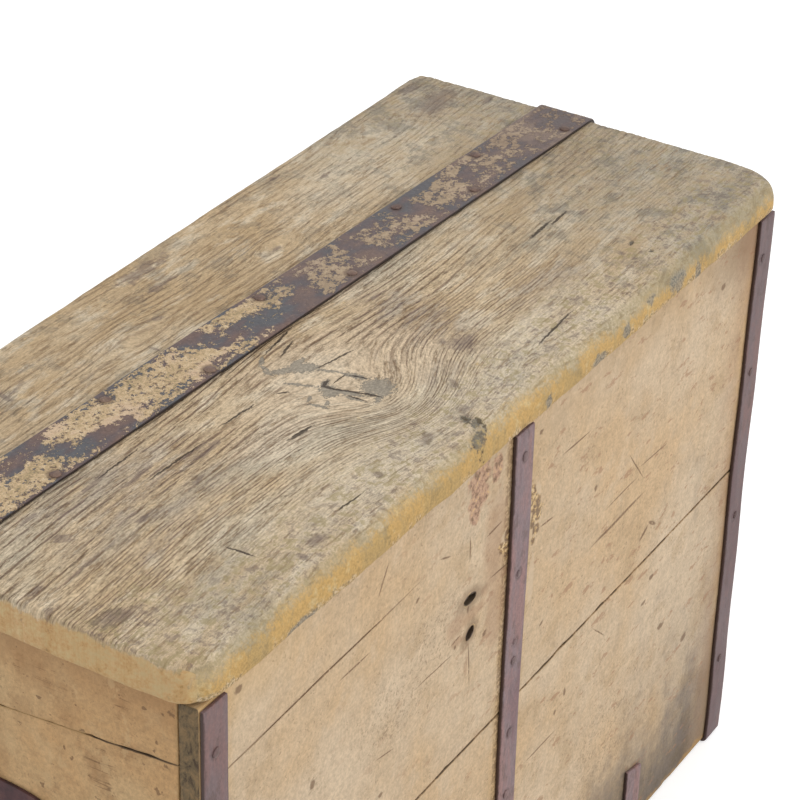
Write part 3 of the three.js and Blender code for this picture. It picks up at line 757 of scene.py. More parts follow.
@dataclass(frozen=True)
class StrapPaint(Finish):
    """Maroon-grey paint on flat iron."""

    name: str = "strap_paint_maroon"
    slot: str = "strap_paint"
    grey: Tone = tone(128, 108, 110)
    maroon: Tone = tone(118, 90, 92)
    red: Tone = tone(142, 108, 104)
    dark: Tone = tone(60, 40, 34)
    dust: Tone = tone(168, 146, 136)
    brown: Tone = tone(96, 72, 64)

    def surface(self, g: Graph) -> Surface:
        """Builds the nodes of the painted iron.

        Args:
            g: The graph.

        Returns:
            What the finish says about the surface.
        """
        place = g.place()
        along = g.noise(place, (50.0, 50.0, 9.0), 3.0, 0.6, 1.0)
        blot = g.noise(place, (110.0, 110.0, 60.0), 4.0, 0.7, 2.0)
        fine = g.noise(place, (600.0, 600.0, 300.0), 3.0, 0.7, 3.0)
        nail = g.attribute("nail")
        edge = g.attribute("edge")
        color = g.ramp(along, (0.36, self.maroon), (0.5, self.grey), (0.62, self.red))
        color = g.mix(0.5 * blot.step(0.52, 0.66), color, self.red)
        color = g.mix(0.6 * blot.step(0.46, 0.34), color, self.brown)
        color = g.shade(color, fine.step(0.3, 0.7), 0.8, 1.2)
        rub = (edge + 3.0 * (blot - 0.5)).step(0.75, 1.15)
        color = g.mix(0.6 * rub, color, self.dark)
        ring = nail.step(0.0026, 0.0036) * nail.step(0.0062, 0.0042)
        color = g.mix(0.5 * ring * (blot + 0.3).step(0.7, 0.9), color, self.dark)
        dust = g.noise(place, 800.0, 2.0, 0.5, 4.0).step(0.64, 0.7)
        color = g.mix(0.5 * dust, color, self.dust)
        x, _, _ = g.parts(place)
        # Painted shade: the right hoop is darkened, and the left one somewhat less.
        color = g.mix(0.42 * x.step(0.32, 0.335) + 0.3 * x.step(-0.32, -0.335), color, self.dark)
        # The side faces are painted near-black: partly dark rust, partly painted shade.
        color = g.mix(0.9 * g.attribute("side"), color, self.dark)
        return Surface(color, 0.44 + 0.3 * fine, 0.7 * fine + 0.8 * blot - 0.6 * ring, 0.1, 0.18 * MM, 0.5)


@dataclass(frozen=True)
class NailPaint(StrapPaint):
    """The paint of the straps as it lies on their nail heads, darker where it has worn."""

    name: str = "nail_paint_dark"
    grey: Tone = tone(112, 92, 92)
    maroon: Tone = tone(92, 68, 68)
    red: Tone = tone(128, 100, 96)


@dataclass(frozen=True)
class RustyNail(StrapPaint):
    """Brown iron of the nails in the lid's strap."""

    name: str = "nail_rusty_brown"
    slot: str = "worn_strap"
    grey: Tone = tone(104, 80, 70)
    maroon: Tone = tone(84, 62, 56)
    red: Tone = tone(128, 104, 88)


@dataclass(frozen=True)
class WornStrap(Finish):
    """Tan paint flaking off slate-black iron, for the strap over the lid's seam."""

    name: str = "worn_strap_flaking"
    slot: str = "worn_strap"
    cream: Tone = tone(216, 194, 158)
    tan: Tone = tone(196, 168, 130)
    olive: Tone = tone(164, 144, 108)
    slate: Tone = tone(88, 88, 92)
    plum: Tone = tone(98, 84, 84)
    rust: Tone = tone(112, 90, 82)
    pit: Tone = tone(88, 66, 56)
    # Near-black for the side faces: dark iron with painted shade.
    seam: Tone = tone(36, 28, 28)
    faint: Tone = tone(150, 132, 116)
    pink: Tone = tone(202, 170, 148)

    BARE_SWATHS = marks(
        (-244, 60, 16, 8), (-266, 54, 7, 9, 30), (-230, 46, 8, 9, -20), (-204, 30, 26, 8, -5),
        (-168, 58, 9, 6), (-76, 47, 9, 20, 35), (-30, 30, 34, 13, -16), (2, 24, 18, 12),
        (-34, 60, 18, 3.5), (23, 44, 9, 10), (62, 55, 14, 6, -8), (88, 32, 9, 20, 12),
        (112, 52, 20, 5, -5), (158, 40, 10, 20, 10), (186, 50, 22, 5), (228, 34, 12, 5, 30),
        (270, 37, 7, 7), (303, 26, 9, 6), (331, 35, 11, 7), (345, 18, 10, 6, 20))
    PAINTED_SWATHS = marks(
        (-300, 36, 34, 13), (-270, 36, 26, 9), (-180, 48, 56, 12, -4), (-112, 38, 32, 14, -4),
        (-24, 48, 34, 9, -14), (40, 30, 22, 13), (106, 33, 12, 8), (136, 26, 17, 9),
        (190, 32, 26, 12, -5), (226, 44, 34, 8), (258, 34, 12, 12), (300, 40, 34, 9))

    def flakes(self, g: Graph, place: Feed) -> Signal:
        """Where the paint still holds: 1 on paint and 0 on bare iron.

        Args:
            g: The graph, of a shader or of geometry.
            place: The place on the piece.

        Returns:
            The mask, with crisp edges.
        """
        x, y, _ = g.parts(place)
        loose = g.bent(place, x, y, 55.0, 4.0 * MM, 3.0)
        bare = g.nearest(loose, self.BARE_SWATHS).step(1.3, 0.7)
        full = g.nearest(loose, self.PAINTED_SWATHS).step(1.35, 0.6)
        clump = g.noise(place, (120.0, 150.0, 120.0), 3.0, 0.6, 1.0)
        crumb = g.noise(place, 300.0, 4.0, 0.85, 2.0)
        edge = g.attribute("edge")
        amount = 0.3 * clump.step(0.3, 0.7) + 0.4 * crumb.step(0.3, 0.7) + 0.13 * full - 0.22 * bare
        return (amount - 0.26 * edge - 0.075 * self.faded(x)).step(0.3, 0.335)

    @staticmethod
    def faded(x: Signal) -> Signal:
        """1 on the right part of the strap, where the paint has faded, and 0 on the left."""
        return x.step(-0.035, 0.03)

    def surface(self, g: Graph) -> Surface:
        """Builds the nodes of the flaking strap.

        Args:
            g: The graph.

        Returns:
            What the finish says about the surface.
        """
        place = g.place()
        x, _, _ = g.parts(place)
        paint = self.flakes(g, place)
        cloud = g.noise(place, (34.0, 60.0, 34.0), 3.0, 0.55, 5.0)
        fine = g.noise(place, 420.0, 3.0, 0.75, 6.0)
        grit = g.noise(place, 1000.0, 2.0, 0.6, 7.0)
        faded = self.faded(x)
        metal_tone = g.ramp(cloud + 0.05 * faded, (0.42, self.slate), (0.52, self.plum), (0.66, self.rust))
        metal_tone = g.shade(metal_tone, fine.step(0.25, 0.75), 0.8, 1.2)
        pale = (0.6 * fine + 0.4 * grit).step(0.6, 0.66)
        metal_tone = g.mix(0.3 * pale, metal_tone, self.tan)
        paint_tone = g.ramp(0.6 * fine + 0.4 * cloud, (0.38, self.olive), (0.47, self.tan),
                            (0.6, self.cream))
        paint_tone = g.shade(paint_tone, grit.step(0.3, 0.7), 0.84, 1.14)
        pits = g.noise(place, 240.0, 3.0, 0.7, 8.0).step(0.57, 0.64)
        paint_tone = g.mix(0.75 * pits, paint_tone, self.pit)
        paint_tone = g.mix(0.4 * cloud.step(0.5, 0.62), paint_tone, self.pink)
        paint_tone = g.mix(0.5 * faded, paint_tone, self.faint)
        color = g.mix(paint, metal_tone, paint_tone)
        nail = g.attribute("nail")
        ring = nail.step(0.0075, 0.0045) * (0.3 + 0.9 * cloud)
        color = g.mix(0.75 * ring, color, self.pit)
        dusty = 0.1 * faded + 0.35 * x.step(0.2, 0.33)
        color = g.mix(dusty, color, g.mix(cloud.step(0.4, 0.6), self.rust, self.faint))
        # The side faces are painted near-black: partly dark iron, partly painted shade.
        color = g.mix(0.85 * g.attribute("side"), color, self.seam)
        height = 1.4 * paint + 0.7 * fine + 0.3 * grit - 0.8 * pits
        return Surface(color, 0.74 - 0.2 * (1.0 - paint), height, 0.2 * (1.0 - paint), 0.22 * MM, 0.45)


@dataclass(frozen=True)
class DarkIron(Finish):
    """Dark wrought iron under old maroon paint, for the hinges and handles."""

    name: str = "dark_iron_wrought"
    slot: str = "dark_iron"
    base: Tone = tone(66, 50, 50)
    high: Tone = tone(96, 76, 74)
    low: Tone = tone(44, 34, 34)
    rust: Tone = tone(104, 66, 48)

    def surface(self, g: Graph) -> Surface:
        """Builds the nodes of the dark iron.

        Args:
            g: The graph.

        Returns:
            What the finish says about the surface.
        """
        place = g.place()
        blot = g.noise(place, 60.0, 4.0, 0.6, 1.0)
        hammer = g.noise(place, 150.0, 2.0, 0.5, 2.0)
        fine = g.noise(place, 700.0, 3.0, 0.6, 3.0)
        color = g.ramp(blot, (0.34, self.low), (0.5, self.base), (0.68, self.high))
        rust = (blot + 0.5 * (fine - 0.5)).step(0.6, 0.72)
        color = g.mix(0.5 * rust, color, self.rust)
        color = g.shade(color, fine, 0.8, 1.2)
        return Surface(color, 0.45 + 0.25 * blot, hammer + 0.4 * fine, 0.35, 0.35 * MM, 0.5)


@dataclass(frozen=True)
class HandleIron(DarkIron):
    """The handles' iron, with more of its dark maroon paint."""

    name: str = "handle_iron_maroon"
    slot: str = "handle_iron"
    base: Tone = tone(78, 52, 54)
    high: Tone = tone(98, 68, 66)
    low: Tone = tone(54, 38, 40)


KNOT_PATCHES = marks(
    (-73, 6, 5, 1.5, 25), (-79, -1, 4.6, 1.3, 70), (-82.5, -6, 3.6, 1.5, 80), (-74, -13, 10, 2.8, -40),
    (-65, -20, 10, 5.0, -48), (-62, -14, 7, 2.6), (-57.7, -38, 8.5, 1.3, -71),
    (-54.5, -53, 7.5, 2.4, -78), (-58, -73, 9.6, 9.2), (-83, -31, 10, 1.4, -68), (-73.5, -43, 5, 2, 15),
    (-81, -52, 5, 4.4), (-77.5, -47, 5, 2.2, -30), (-75, -60, 9, 2.4, -76), (-78.5, -68, 7, 1.1, -85),
    (-98, -54, 6, 1.2, -80), (-94, -45, 4, 1.0, 20), (-92, -57, 3, 1.4, 30), (-66, -80, 8, 2.2, 12))
KNOT_HEART = marks((-70, -42, 27, 42), (-44, -32, 26, 16, -25))
KNOT_HALO = marks((-62, -42, 80, 52), (-140, -52, 40, 20), (-20, -60, 44, 40))
KNOT_CRACKS = marks(
    (-75.5, -50, 8, 1.3, -78), (-72, -62, 8.5, 1.1, -72), (-68.5, -74, 7, 1.2, -80),
    (-73, -43, 4.5, 1.3, 15), (-43, -31.5, 16, 0.8, -12), (-97, -27, 4.5, 0.7, -45), (-63, -47, 7, 0.6),
    (-54, -56, 6, 0.8, -75), (-77, -70, 7, 0.7, -85))
LID_STAINS = marks(
    (-302, -12, 7, 8), (-300, 14, 9, 3), (-244, 7, 13, 3), (-224, -10, 15, 2.6), (-260, -39, 8, 3, 4),
    (-208, -41, 8, 2.2), (-350, -34, 8, 3), (-365, -52, 12, 2), (-240, -138, 3, 5),
    (-222, -135, 9, 5, 10), (-344, -123, 5, 2.2), (-372, -146, 6, 3), (-345, -86, 14, 8, -20),
    (-172, -151, 1.4, 6, 35), (-143, -127, 3.4, 3.4), (-92, -131, 10, 5, 10), (230, -63, 5, 2.4),
    (-178, -27, 16, 3), (20, -88, 14, 12, -40), (-26, -110, 7, 3, 45))
BACK_STAINS = marks(
    (-199, 112, 3, 9, -10), (-186, 114, 12, 2.2, 20), (-98, 71, 1.5, 6), (146, 146, 8, 3),
    (173, 118, 7, 3, 10), (325, 118, 34, 12, 8), (334, 148, 12, 6), (-66, 94, 5, 2.6), (61, 86, 6, 2.6),
    (352, 88, 8, 4), (-30, 118, 20, 4), (-20, 141, 26, 7))
LID_CHIPS = marks(
    (-67, -152, 10, 3.2, 6), (-59, -145, 5, 3, 30), (-58, -137, 5, 4, 30), (206, -130, 2.4, 1.2),
    (208, -113, 4, 1.4, 20))
LID_SPLITS = marks(
    (-202, -19, 24, 0.7, -2), (-135, -19, 16, 0.7, -4), (-130, -62.5, 11, 1.2, -6),
    (-178, -129.5, 12, 0.7, -4), (-256, -106, 0.8, 9, 3), (72, -128, 26, 0.8, 4), (188, -51, 16, 1.3, 4),
    (212, -53, 12, 1.0, 3), (-222, 8, 20, 0.6), (-46, 12, 18, 0.9, 8), (-50, 2, 10, 0.9, 14))
NOSE_PATCHES = marks(
    (-268, 488, 16, 5), (-236, 486, 9, 3), (-182, 485, 8, 3), (-122, 485, 9, 3), (198, 501, 10, 8),
    (228, 492, 4, 7), (84, 492, 9, 5), (122, 496, 6, 4), (157, 505, 6, 5), (15, 494, 4, 6))
PALE_ZONES = marks((200, 100, 110, 36), (-140, -62, 36, 20), (-150, -128, 90, 14))
PLUM_ZONES = marks(
    (-285, -60, 30, 13), (-20, -94, 20, 12), (-245, 4, 70, 16, -3), (30, -50, 30, 62, -12),
    (-245, -40, 80, 30), (-185, -24, 20, 7), (120, -95, 50, 18))


@dataclass(frozen=True)
class WeatheredPlank(Finish):
    """Grey-tan weathered wood with raised grain, worn to ochre paint round its edges."""

    name: str = "weathered_plank"
    slot: str = "lid_wood"
    tan: Tone = tone(202, 180, 148)
    grey: Tone = tone(184, 172, 150)
    warm: Tone = tone(188, 162, 126)
    pale: Tone = tone(218, 203, 178)
    cool: Tone = tone(150, 143, 130)
    groove: Tone = tone(114, 91, 74)
    plum: Tone = tone(104, 88, 86)
    filler: Tone = tone(124, 118, 108)
    filler_pale: Tone = tone(156, 148, 134)
    crack: Tone = tone(54, 44, 38)
    ochre: Tone = tone(198, 160, 98)
    straw: Tone = tone(207, 180, 130)
    olive: Tone = tone(158, 142, 102)
    brown: Tone = tone(136, 104, 70)
    orange: Tone = tone(200, 156, 102)
    umber: Tone = tone(168, 136, 84)
    blush: Tone = tone(212, 192, 166)
    slate: Tone = tone(94, 96, 94)
    fine_pitch: float = 2.7 * MM
    broad_pitch: float = 5.6 * MM

    def rings(self, g: Graph, flow: Feed, pitch: float, wander: float, seed: float) -> Signal:
        """Waves across the grain, one for each year ring.

        Args:
            g: The graph, of a shader or of geometry.
            flow: The place along and across the grain.
            pitch: The distance between two rings.
            wander: How far the rings stray, in radians.
            seed: Moves the pattern.

        Returns:
            The waves, from -1 to 1.
        """
        _, across, _ = g.parts(flow)
        drift = g.noise(flow, (5.0, 34.0, 0.0), 3.0, 0.6, seed)
        return g.math("SINE", across * (2 * math.pi / pitch) + wander * drift)

    def grooves(self, g: Graph, flow: Feed) -> tuple[Signal, Signal]:
        """The grooves between the raised grain, wide ones and fine ones.

        Args:
            g: The graph, of a shader or of geometry.
            flow: The place along and across the grain.

        Returns:
            The wide and the fine grooves, each from 0 to 1.
        """
        _, across, _ = g.parts(flow)
        torn = g.noise(flow, (42.0, 260.0, 0.0), 4.0, 0.8, 1.0)
        area = g.noise(flow, (9.0, 32.0, 0.0), 3.0, 0.65, 3.0)
        low = across.step(-0.035, -0.06)
        worn = across.step(-0.085, -0.12)
        wide = self.rings(g, flow, self.broad_pitch, 19.0, 4.0).step(0.25, 1.0)
        fine = self.rings(g, flow, self.fine_pitch, 13.0, 2.0).step(0.0, 0.9)
        wide = wide * (1.0 - 0.7 * low) * torn.step(0.4, 0.53) * area.step(0.36, 0.52)
        fine = fine * (0.4 + 0.5 * low - 0.6 * worn) * torn.step(0.42, 0.55) * area.step(0.3, 0.46)
        return wide, fine

    def surface(self, g: Graph) -> Surface:
        """Builds the nodes of the weathered plank.

        Args:
            g: The graph.

        Returns:
            What the finish says about the surface.
        """
        place = g.place()
        flow = g.attribute_vector("grain")
        top = g.attribute("top")
        x, y, z = g.parts(place)
        loose = g.bent(place, x, y, 60.0, 3.5 * MM, 1.0)
        tight = g.bent(place, x, y, 260.0, 1.4 * MM, 2.0)
        cloud = g.noise(flow, (5.0, 14.0, 0.0), 3.0, 0.6, 6.0)
        patch = g.noise(flow, (22.0, 70.0, 0.0), 4.0, 0.65, 7.0)
        mottle = g.noise(place, 130.0, 4.0, 0.75, 10.0)
        grit = g.noise(place, 560.0, 3.0, 0.7, 9.0)
        color = g.ramp(cloud, (0.34, self.warm), (0.5, self.tan), (0.64, self.grey))
        color = g.mix(0.7 * patch.step(0.5, 0.66), color, self.pale)
        color = g.mix(0.6 * patch.step(0.46, 0.32), color, self.warm)
        near = y.step(-0.075, -0.115) * x.step(-0.3, -0.15) * x.step(0.2, 0.08)
        color = g.mix(0.5 * near, color, self.pale)
        far = x.step(0.1, 0.34)
        color = g.mix(0.46 * far, color, self.cool)
        heart = (g.nearest(loose, KNOT_HEART) + 0.8 * (patch - 0.5)).step(1.25, 0.65)
        color = g.mix(0.25 * heart, color, self.pale)
        calm = 1.0 - 0.9 * heart
        dull = x.step(0.04, 0.24).most(0.6 * y.step(0.05, 0.065)).most(0.5 * y.step(-0.1, -0.128))
        bleached = g.nearest(loose, PALE_ZONES).step(1.3, 0.4)
        color = g.mix(0.6 * bleached, color, self.pale)
        plum = g.nearest(loose, PLUM_ZONES).step(1.3, 0.5) * patch.step(0.38, 0.58)
        color = g.mix(0.3 * plum, color, self.plum)
        halo = (g.nearest(loose, KNOT_HALO) + 1.6 * (patch - 0.5)).step(1.2, 0.5)
        color = g.mix(0.55 * halo, color, self.blush)
        wide, fine = self.grooves(g, flow)
        dirt = g.mix(0.7 * plum, self.groove, self.plum)
        stripes = (wide * 0.85).most(fine * 0.78) * calm * top * (1.0 - 0.75 * dull)
        color = g.mix(stripes, color, dirt)
        dash = g.noise(flow, (70.0, 420.0, 0.0), 3.0, 0.72, 11.0)
        fibre = g.noise(flow, (260.0, 900.0, 0.0), 2.0, 0.7, 8.0)
        color = g.mix(0.5 * dash.step(0.46, 0.34) * (1.0 - 0.5 * heart), color, self.brown)
        grain = 0.4 * fibre.step(0.32, 0.68) + 0.3 * grit.step(0.32, 0.68) + 0.3 * dash.step(0.34, 0.62)
        grain = (grain - 0.5) * (1.0 - 0.5 * dull) + 0.5
        color = g.shade(color, grain, 0.5, 1.42)
        blotch = g.noise(place, 42.0, 5.0, 0.75, 19.0)
        color = g.mix(0.4 * dull * blotch.step(0.5, 0.4), color, self.slate)
        color = g.mix(0.35 * dull * blotch.step(0.52, 0.6), color, self.warm)
        flat = y.step(-0.09, -0.12).most(0.5 * far).most(x.step(-0.26, -0.35) * y.step(-0.05, -0.09))
        color = g.mix(0.6 * flat * mottle.step(0.48, 0.4), color, self.olive)
        color = g.mix(0.5 * flat * (mottle + 0.4 * grit).step(0.74, 0.82), color, self.plum)
        stain = g.nearest(loose, LID_STAINS + BACK_STAINS) + 3.0 * (mottle - 0.5)
        color = g.mix(0.5 * stain.step(1.1, 0.5), color, self.plum)
        filler = (g.nearest(tight, KNOT_PATCHES) + 2.4 * (grit - 0.5)).step(1.35, 0.95)
        color = g.mix(0.8 * filler, color, g.mix(grit.step(0.35, 0.7), self.filler, self.filler_pale))
        split = (g.nearest(tight, LID_SPLITS + KNOT_CRACKS) + 0.8 * (grit - 0.5)).step(1.3, 0.7)
        color = g.mix(0.85 * split, color, self.crack)
        color, gone = self.edges(g, color, flow, x, z, mottle, grit)
        chip = (g.nearest(tight, LID_CHIPS) + 3.6 * (mottle - 0.5)).step(1.2, 0.7)
        broken = g.ramp(mottle, (0.4, self.crack), (0.5, self.slate), (0.6, self.olive))
        color = g.mix(0.75 * chip, color, broken)
        wood, _ = BareWood().color(g, place)
        color = g.mix(g.attribute("under"), color, wood)
        relief = (0.5 * fibre + 0.5 * grit + 0.7 * dash) * (1.0 - filler.most(0.4 * heart))
        grooves = (1.0 * wide + 0.8 * fine) * calm * top
        height = relief * (1.0 - 0.4 * gone) - grooves - 1.3 * split - 0.8 * chip
        return Surface(color, 0.8 - 0.14 * filler, height, depth=0.42 * MM, specular=0.25)

    def edges(self, g: Graph, color: Feed, flow: Feed, x: Signal, z: Signal, mottle: Signal,
              grit: Signal) -> tuple[Socket, Signal]:
        """Adds the ochre paint that is left on the front nose and the tan one on the ends.

        Args:
            g: The graph.
            color: The wood's colour so far.
            flow: The place along and across the grain.
            x: The place along the lid.
            z: The height.
            mottle: Middling noise.
            grit: Fine noise.

        Returns:
            The colour with the paint, and how much paint there is.
        """
        nose = g.attribute("nose")
        ends = g.attribute("ends")
        rub = g.noise(flow, (26.0, 60.0, 0.0), 4.0, 0.7, 14.0)
        shown = g.mix(0.55 * nose.step(0.05, 0.45) * mottle.step(0.4, 0.54), color, self.olive)
        paint = g.ramp(0.5 * rub + 0.5 * mottle, (0.4, self.umber), (0.46, self.ochre), (0.53, self.ochre),
                       (0.6, self.straw))
        paint = g.mix(0.3 * rub.step(0.5, 0.42), paint, self.olive)
        paint = g.shade(paint, grit.step(0.32, 0.68), 0.84, 1.13)
        corner = x.step(-0.325, -0.352)
        high = nose - 0.45 * x.step(0.02, 0.2) - 0.55 * corner + 1.3 * (mottle - 0.5) + 1.9 * (rub - 0.5)
        gold = (high + 0.8 * (grit - 0.5)).step(0.24, 1.0)
        shown = g.mix(0.9 * gold, shown, paint)
        foot = (nose + 1.5 * (mottle - 0.5)).step(1.5, 1.75) * rub.step(0.46, 0.54)
        dirty = g.ramp(grit, (0.4, self.slate), (0.48, self.umber), (0.56, self.blush))
        shown = g.mix(0.6 * foot, shown, dirty)
        patch = g.nearest(g.joined(x, z, 0.0), NOSE_PATCHES) + 2.4 * (mottle - 0.5)
        bare = patch.step(1.3, 0.8) * nose.step(0.5, 0.9)
        shown = g.mix(0.75 * bare, shown, g.ramp(grit, (0.42, self.slate), (0.56, self.filler_pale)))
        tan_paint = g.ramp(0.6 * mottle + 0.4 * grit, (0.34, self.umber), (0.42, self.orange),
                           (0.6, self.straw))
        left = (ends + 1.6 * (mottle - 0.5) + 1.2 * (rub - 0.5)).step(0.35, 0.75)
        return g.mix(0.82 * left, shown, tan_paint), gold.most(left)


def unit(values: np.ndarray) -> np.ndarray:
    """Limits values to the span from 0 to 1."""
    return np.clip(values, 0, 1)


def smooth(share: np.ndarray) -> np.ndarray:
    """Eases a share between 0 and 1 in and out."""
    return share * share * (3 - 2 * share)


def linked(name: str, data: bpy.types.ID) -> bpy.types.Object:
    """Makes an object and puts it in the scene.

    Args:
        name: The object's name.
        data: Its mesh, camera or lamp.

    Returns:
        The object.
    """
    made = bpy.data.objects.new(name, data)
    bpy.context.scene.collection.objects.link(made)
    return made


def from_shell(name: str, shell: bmesh.types.BMesh) -> bpy.types.Object:
    """Turns a shell into an object and frees the shell.

    Args:
        name: The object's name.
        shell: The shell.

    Returns:
        The object.
    """
    mesh = bpy.data.meshes.new(name)
    shell.to_mesh(mesh)
    shell.free()
    return linked(name, mesh)


class Skin:
    """Points and faces of a closed shell, on their way to becoming a mesh object."""

    def __init__(self, xs: np.ndarray, ys: np.ndarray, zs: np.ndarray) -> None:
        """Lays the shell over a box that is cut by lattice lines.

        Args:
            xs: Where the lines lie along the first axis.
            ys: Where they lie along the second.
            zs: Where they lie along the third.
        """
        skin = np.ones((len(xs), len(ys), len(zs)), bool)
        skin[1:-1, 1:-1, 1:-1] = False
        number = np.full(skin.shape, -1)
        number[skin] = np.arange(skin.sum())
        i, j, k = np.nonzero(skin)
        self.points = np.stack([xs[i], ys[j], zs[k]], 1).astype(float)
        self.low = self.points.min(0)
        self.high = self.points.max(0)
        sheets = (
            (number[:, :, -1], False), (number[:, :, 0], True), (number[-1], False), (number[0], True),
            (number[:, -1, :].T, False), (number[:, 0, :].T, True))
        self.quads = np.concatenate([self.sheet(grid, turned) for grid, turned in sheets])
        self.values: dict[str, np.ndarray] = {}

    @staticmethod
    def sheet(grid: np.ndarray, turned: bool) -> np.ndarray:
        """The faces of one side of the box.

        Args:
            grid: The numbers of the side's points.
            turned: Whether its faces look the other way.

        Returns:
            The four points of each face.
        """
        corners = [grid[:-1, :-1], grid[1:, :-1], grid[1:, 1:], grid[:-1, 1:]]
        quads = np.stack(corners, -1).reshape(-1, 4)
        return quads[:, ::-1] if turned else quads

    def eased(self, radius: float | Sequence[float]) -> "Skin":
        """Rounds the box's edges and corners.

        Args:
            radius: The radius, for all axes or for each.

        Returns:
            This shell.
        """
        reach = np.broadcast_to(np.asarray(radius, float), (3,))
        inner = np.clip(self.points, self.low + reach, self.high - reach)
        outward = (self.points - inner) / reach
        length = np.linalg.norm(outward, axis=1, keepdims=True)
        self.points = inner + outward / np.maximum(length, 1e-9) * reach * (length > 0)
        return self

    def rim(self, axis: int, width: float) -> np.ndarray:
        """How near each point is to the edges of the two faces across an axis: 1 is on the edge.

        Args:
            axis: The axis across the two faces.
            width: How far from an edge the share falls to 0.

        Returns:
            The share for each point, from 0 to 1.
        """
        others = [other for other in range(3) if other != axis]
        gaps = [np.minimum(self.points[:, a] - self.low[a], self.high[a] - self.points[:, a])
                for a in others]
        return unit(1 - np.minimum(*gaps) / width)

    def object(self, name: str) -> bpy.types.Object:
        """Makes the mesh object.

        Args:
            name: The piece's name.

        Returns:
            The object, smooth all over, with the stored values as attributes.
        """
        mesh = bpy.data.meshes.new(name)
        mesh.from_pydata(self.points.tolist(), [], self.quads.tolist())
        for key, value in self.values.items():
            kind = "FLOAT" if value.ndim == 1 else "FLOAT_VECTOR"
            data = mesh.attributes.new(key, kind, "POINT").data
            data.foreach_set("value" if value.ndim == 1 else "vector", value.astype(np.float32).ravel())
        mesh.shade_smooth()
        return linked(name, mesh)


def lines(low: float, high: float, step: float, margin: float, fine: int = 2) -> np.ndarray:
    """Places of lattice lines: fine ones in a margin at both ends and even ones between.

    Args:
        low: The first place.
        high: The last place.
        step: The distance between even lines.
        margin: The width of the fine zone.
        fine: How many steps it has.

    Returns:
        The places.
    """
    edge = np.linspace(0, margin, fine + 1)[:-1]
    count = max(1, round((high - low - 2 * margin) / step))
    middle = np.linspace(low + margin, high - margin, count + 1)
    return np.concatenate([low + edge, middle, (high - edge)[::-1]])


def plain_mesh(made: bpy.types.Object) -> bpy.types.Object:
    """Bakes an object's modifiers into a plain mesh and removes them.

    Args:
        made: The object.

    Returns:
        The same object.
    """
    graph = bpy.context.evaluated_depsgraph_get()
    mesh = bpy.data.meshes.new_from_object(
        made.evaluated_get(graph), preserve_all_data_layers=True, depsgraph=graph)
    made.modifiers.clear()
    made.data = mesh
    return made


def cut(made: bpy.types.Object, cutter: bpy.types.Object, sharp: float) -> None:
    """Cuts one object out of another and removes it.

    Args:
        made: The object that is cut.
        cutter: The object that cuts.
        sharp: Edges that bend more than this stay sharp, in degrees.
    """
    modifier = made.modifiers.new("cut", "BOOLEAN")
    modifier.operation = "DIFFERENCE"
    modifier.object = cutter
    modifier.solver = "EXACT"
    plain_mesh(made)
    bpy.data.objects.remove(cutter)
    made.data.set_sharp_from_angle(angle=math.radians(sharp))


def centre_of(node: str) -> tuple[float, float, float]:
    """The middle of a node's box."""
    low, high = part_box(node)
    return (low.x + high.x) / 2, (low.y + high.y) / 2, (low.z + high.z) / 2


def nodes_like(prefix: str) -> list[str]:
    """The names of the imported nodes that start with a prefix."""
    return [node for node in sorted(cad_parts) if node.startswith(prefix)]


class NodeGroup:
    """A geometry node group with named inputs."""

    def __init__(self, name: str, inputs: dict[str, float]) -> None:
        """Makes the empty group.

        Args:
            name: The group's name.
            inputs: The names of its number inputs and their usual values.
        """
        self.tree = bpy.data.node_groups.new(name, "GeometryNodeTree")
        self.tree.is_modifier = True
        interface = self.tree.interface
        interface.new_socket("Geometry", in_out="INPUT", socket_type="NodeSocketGeometry")
        interface.new_socket("Geometry", in_out="OUTPUT", socket_type="NodeSocketGeometry")
        self.keys: dict[str, str] = {}
        for key, usual in inputs.items():
            socket = interface.new_socket(key, in_out="INPUT", socket_type="NodeSocketFloat")
            socket.default_value = usual
            self.keys[key] = socket.identifier
        self.graph = Graph(self.tree)
        self.start = self.graph.add("NodeGroupInput")

    def input(self, name: str) -> Signal:
        """One of the named inputs."""
        return Signal(self.graph, self.start.outputs[name])

    def finish(self, geometry: Socket, material: bpy.types.Material) -> None:
        """Ends the tree with Realize Instances and Set Material.

        Args:
            geometry: What the tree has made.
            material: The material for it.
        """
        real = self.graph.out("GeometryNodeRealizeInstances", {}, {"Geometry": geometry})
        dressed = self.graph.out("GeometryNodeSetMaterial", {}, {"Geometry": real, "Material": material})
        self.graph.add("NodeGroupOutput", {}, {0: dressed})

    def run(self, made: bpy.types.Object, **values: float) -> bpy.types.Object:
        """Runs the group on an object.

        Args:
            made: The object.
            **values: The inputs by name.

        Returns:
            The object with a plain mesh.
        """
        modifier = made.modifiers.new(self.tree.name, "NODES")
        modifier.node_group = self.tree
        for key, value in values.items():
            modifier[self.keys[key]] = value
        return plain_mesh(made)


class Relief:
    """Moves a shell's points along their normals by a height field, and dresses it."""

    def __init__(self, name: str, finish: Finish, height: Callable[[Graph, NodeGroup], Signal],
                 inputs: dict[str, float]) -> None:
        """Builds the group.

        Args:
            name: The group's name.
            finish: The finish that it ends with.
            height: Gives the height in metres as a field.
            inputs: The named inputs that the height reads, with their values.
        """
        self.inputs = inputs
        self.group = NodeGroup(name, inputs)
        graph = self.group.graph
        amount = height(graph, self.group)
        normal = graph.out("GeometryNodeInputNormal")
        offset = graph.scaled(normal, amount)
        moved = graph.out("GeometryNodeSetPosition", {}, {
            "Geometry": self.group.start.outputs["Geometry"], "Offset": offset})
        self.group.finish(moved, finish.material())

    def run(self, made: bpy.types.Object) -> bpy.types.Object:
        """Runs the relief on an object."""
        return self.group.run(made, **self.inputs)


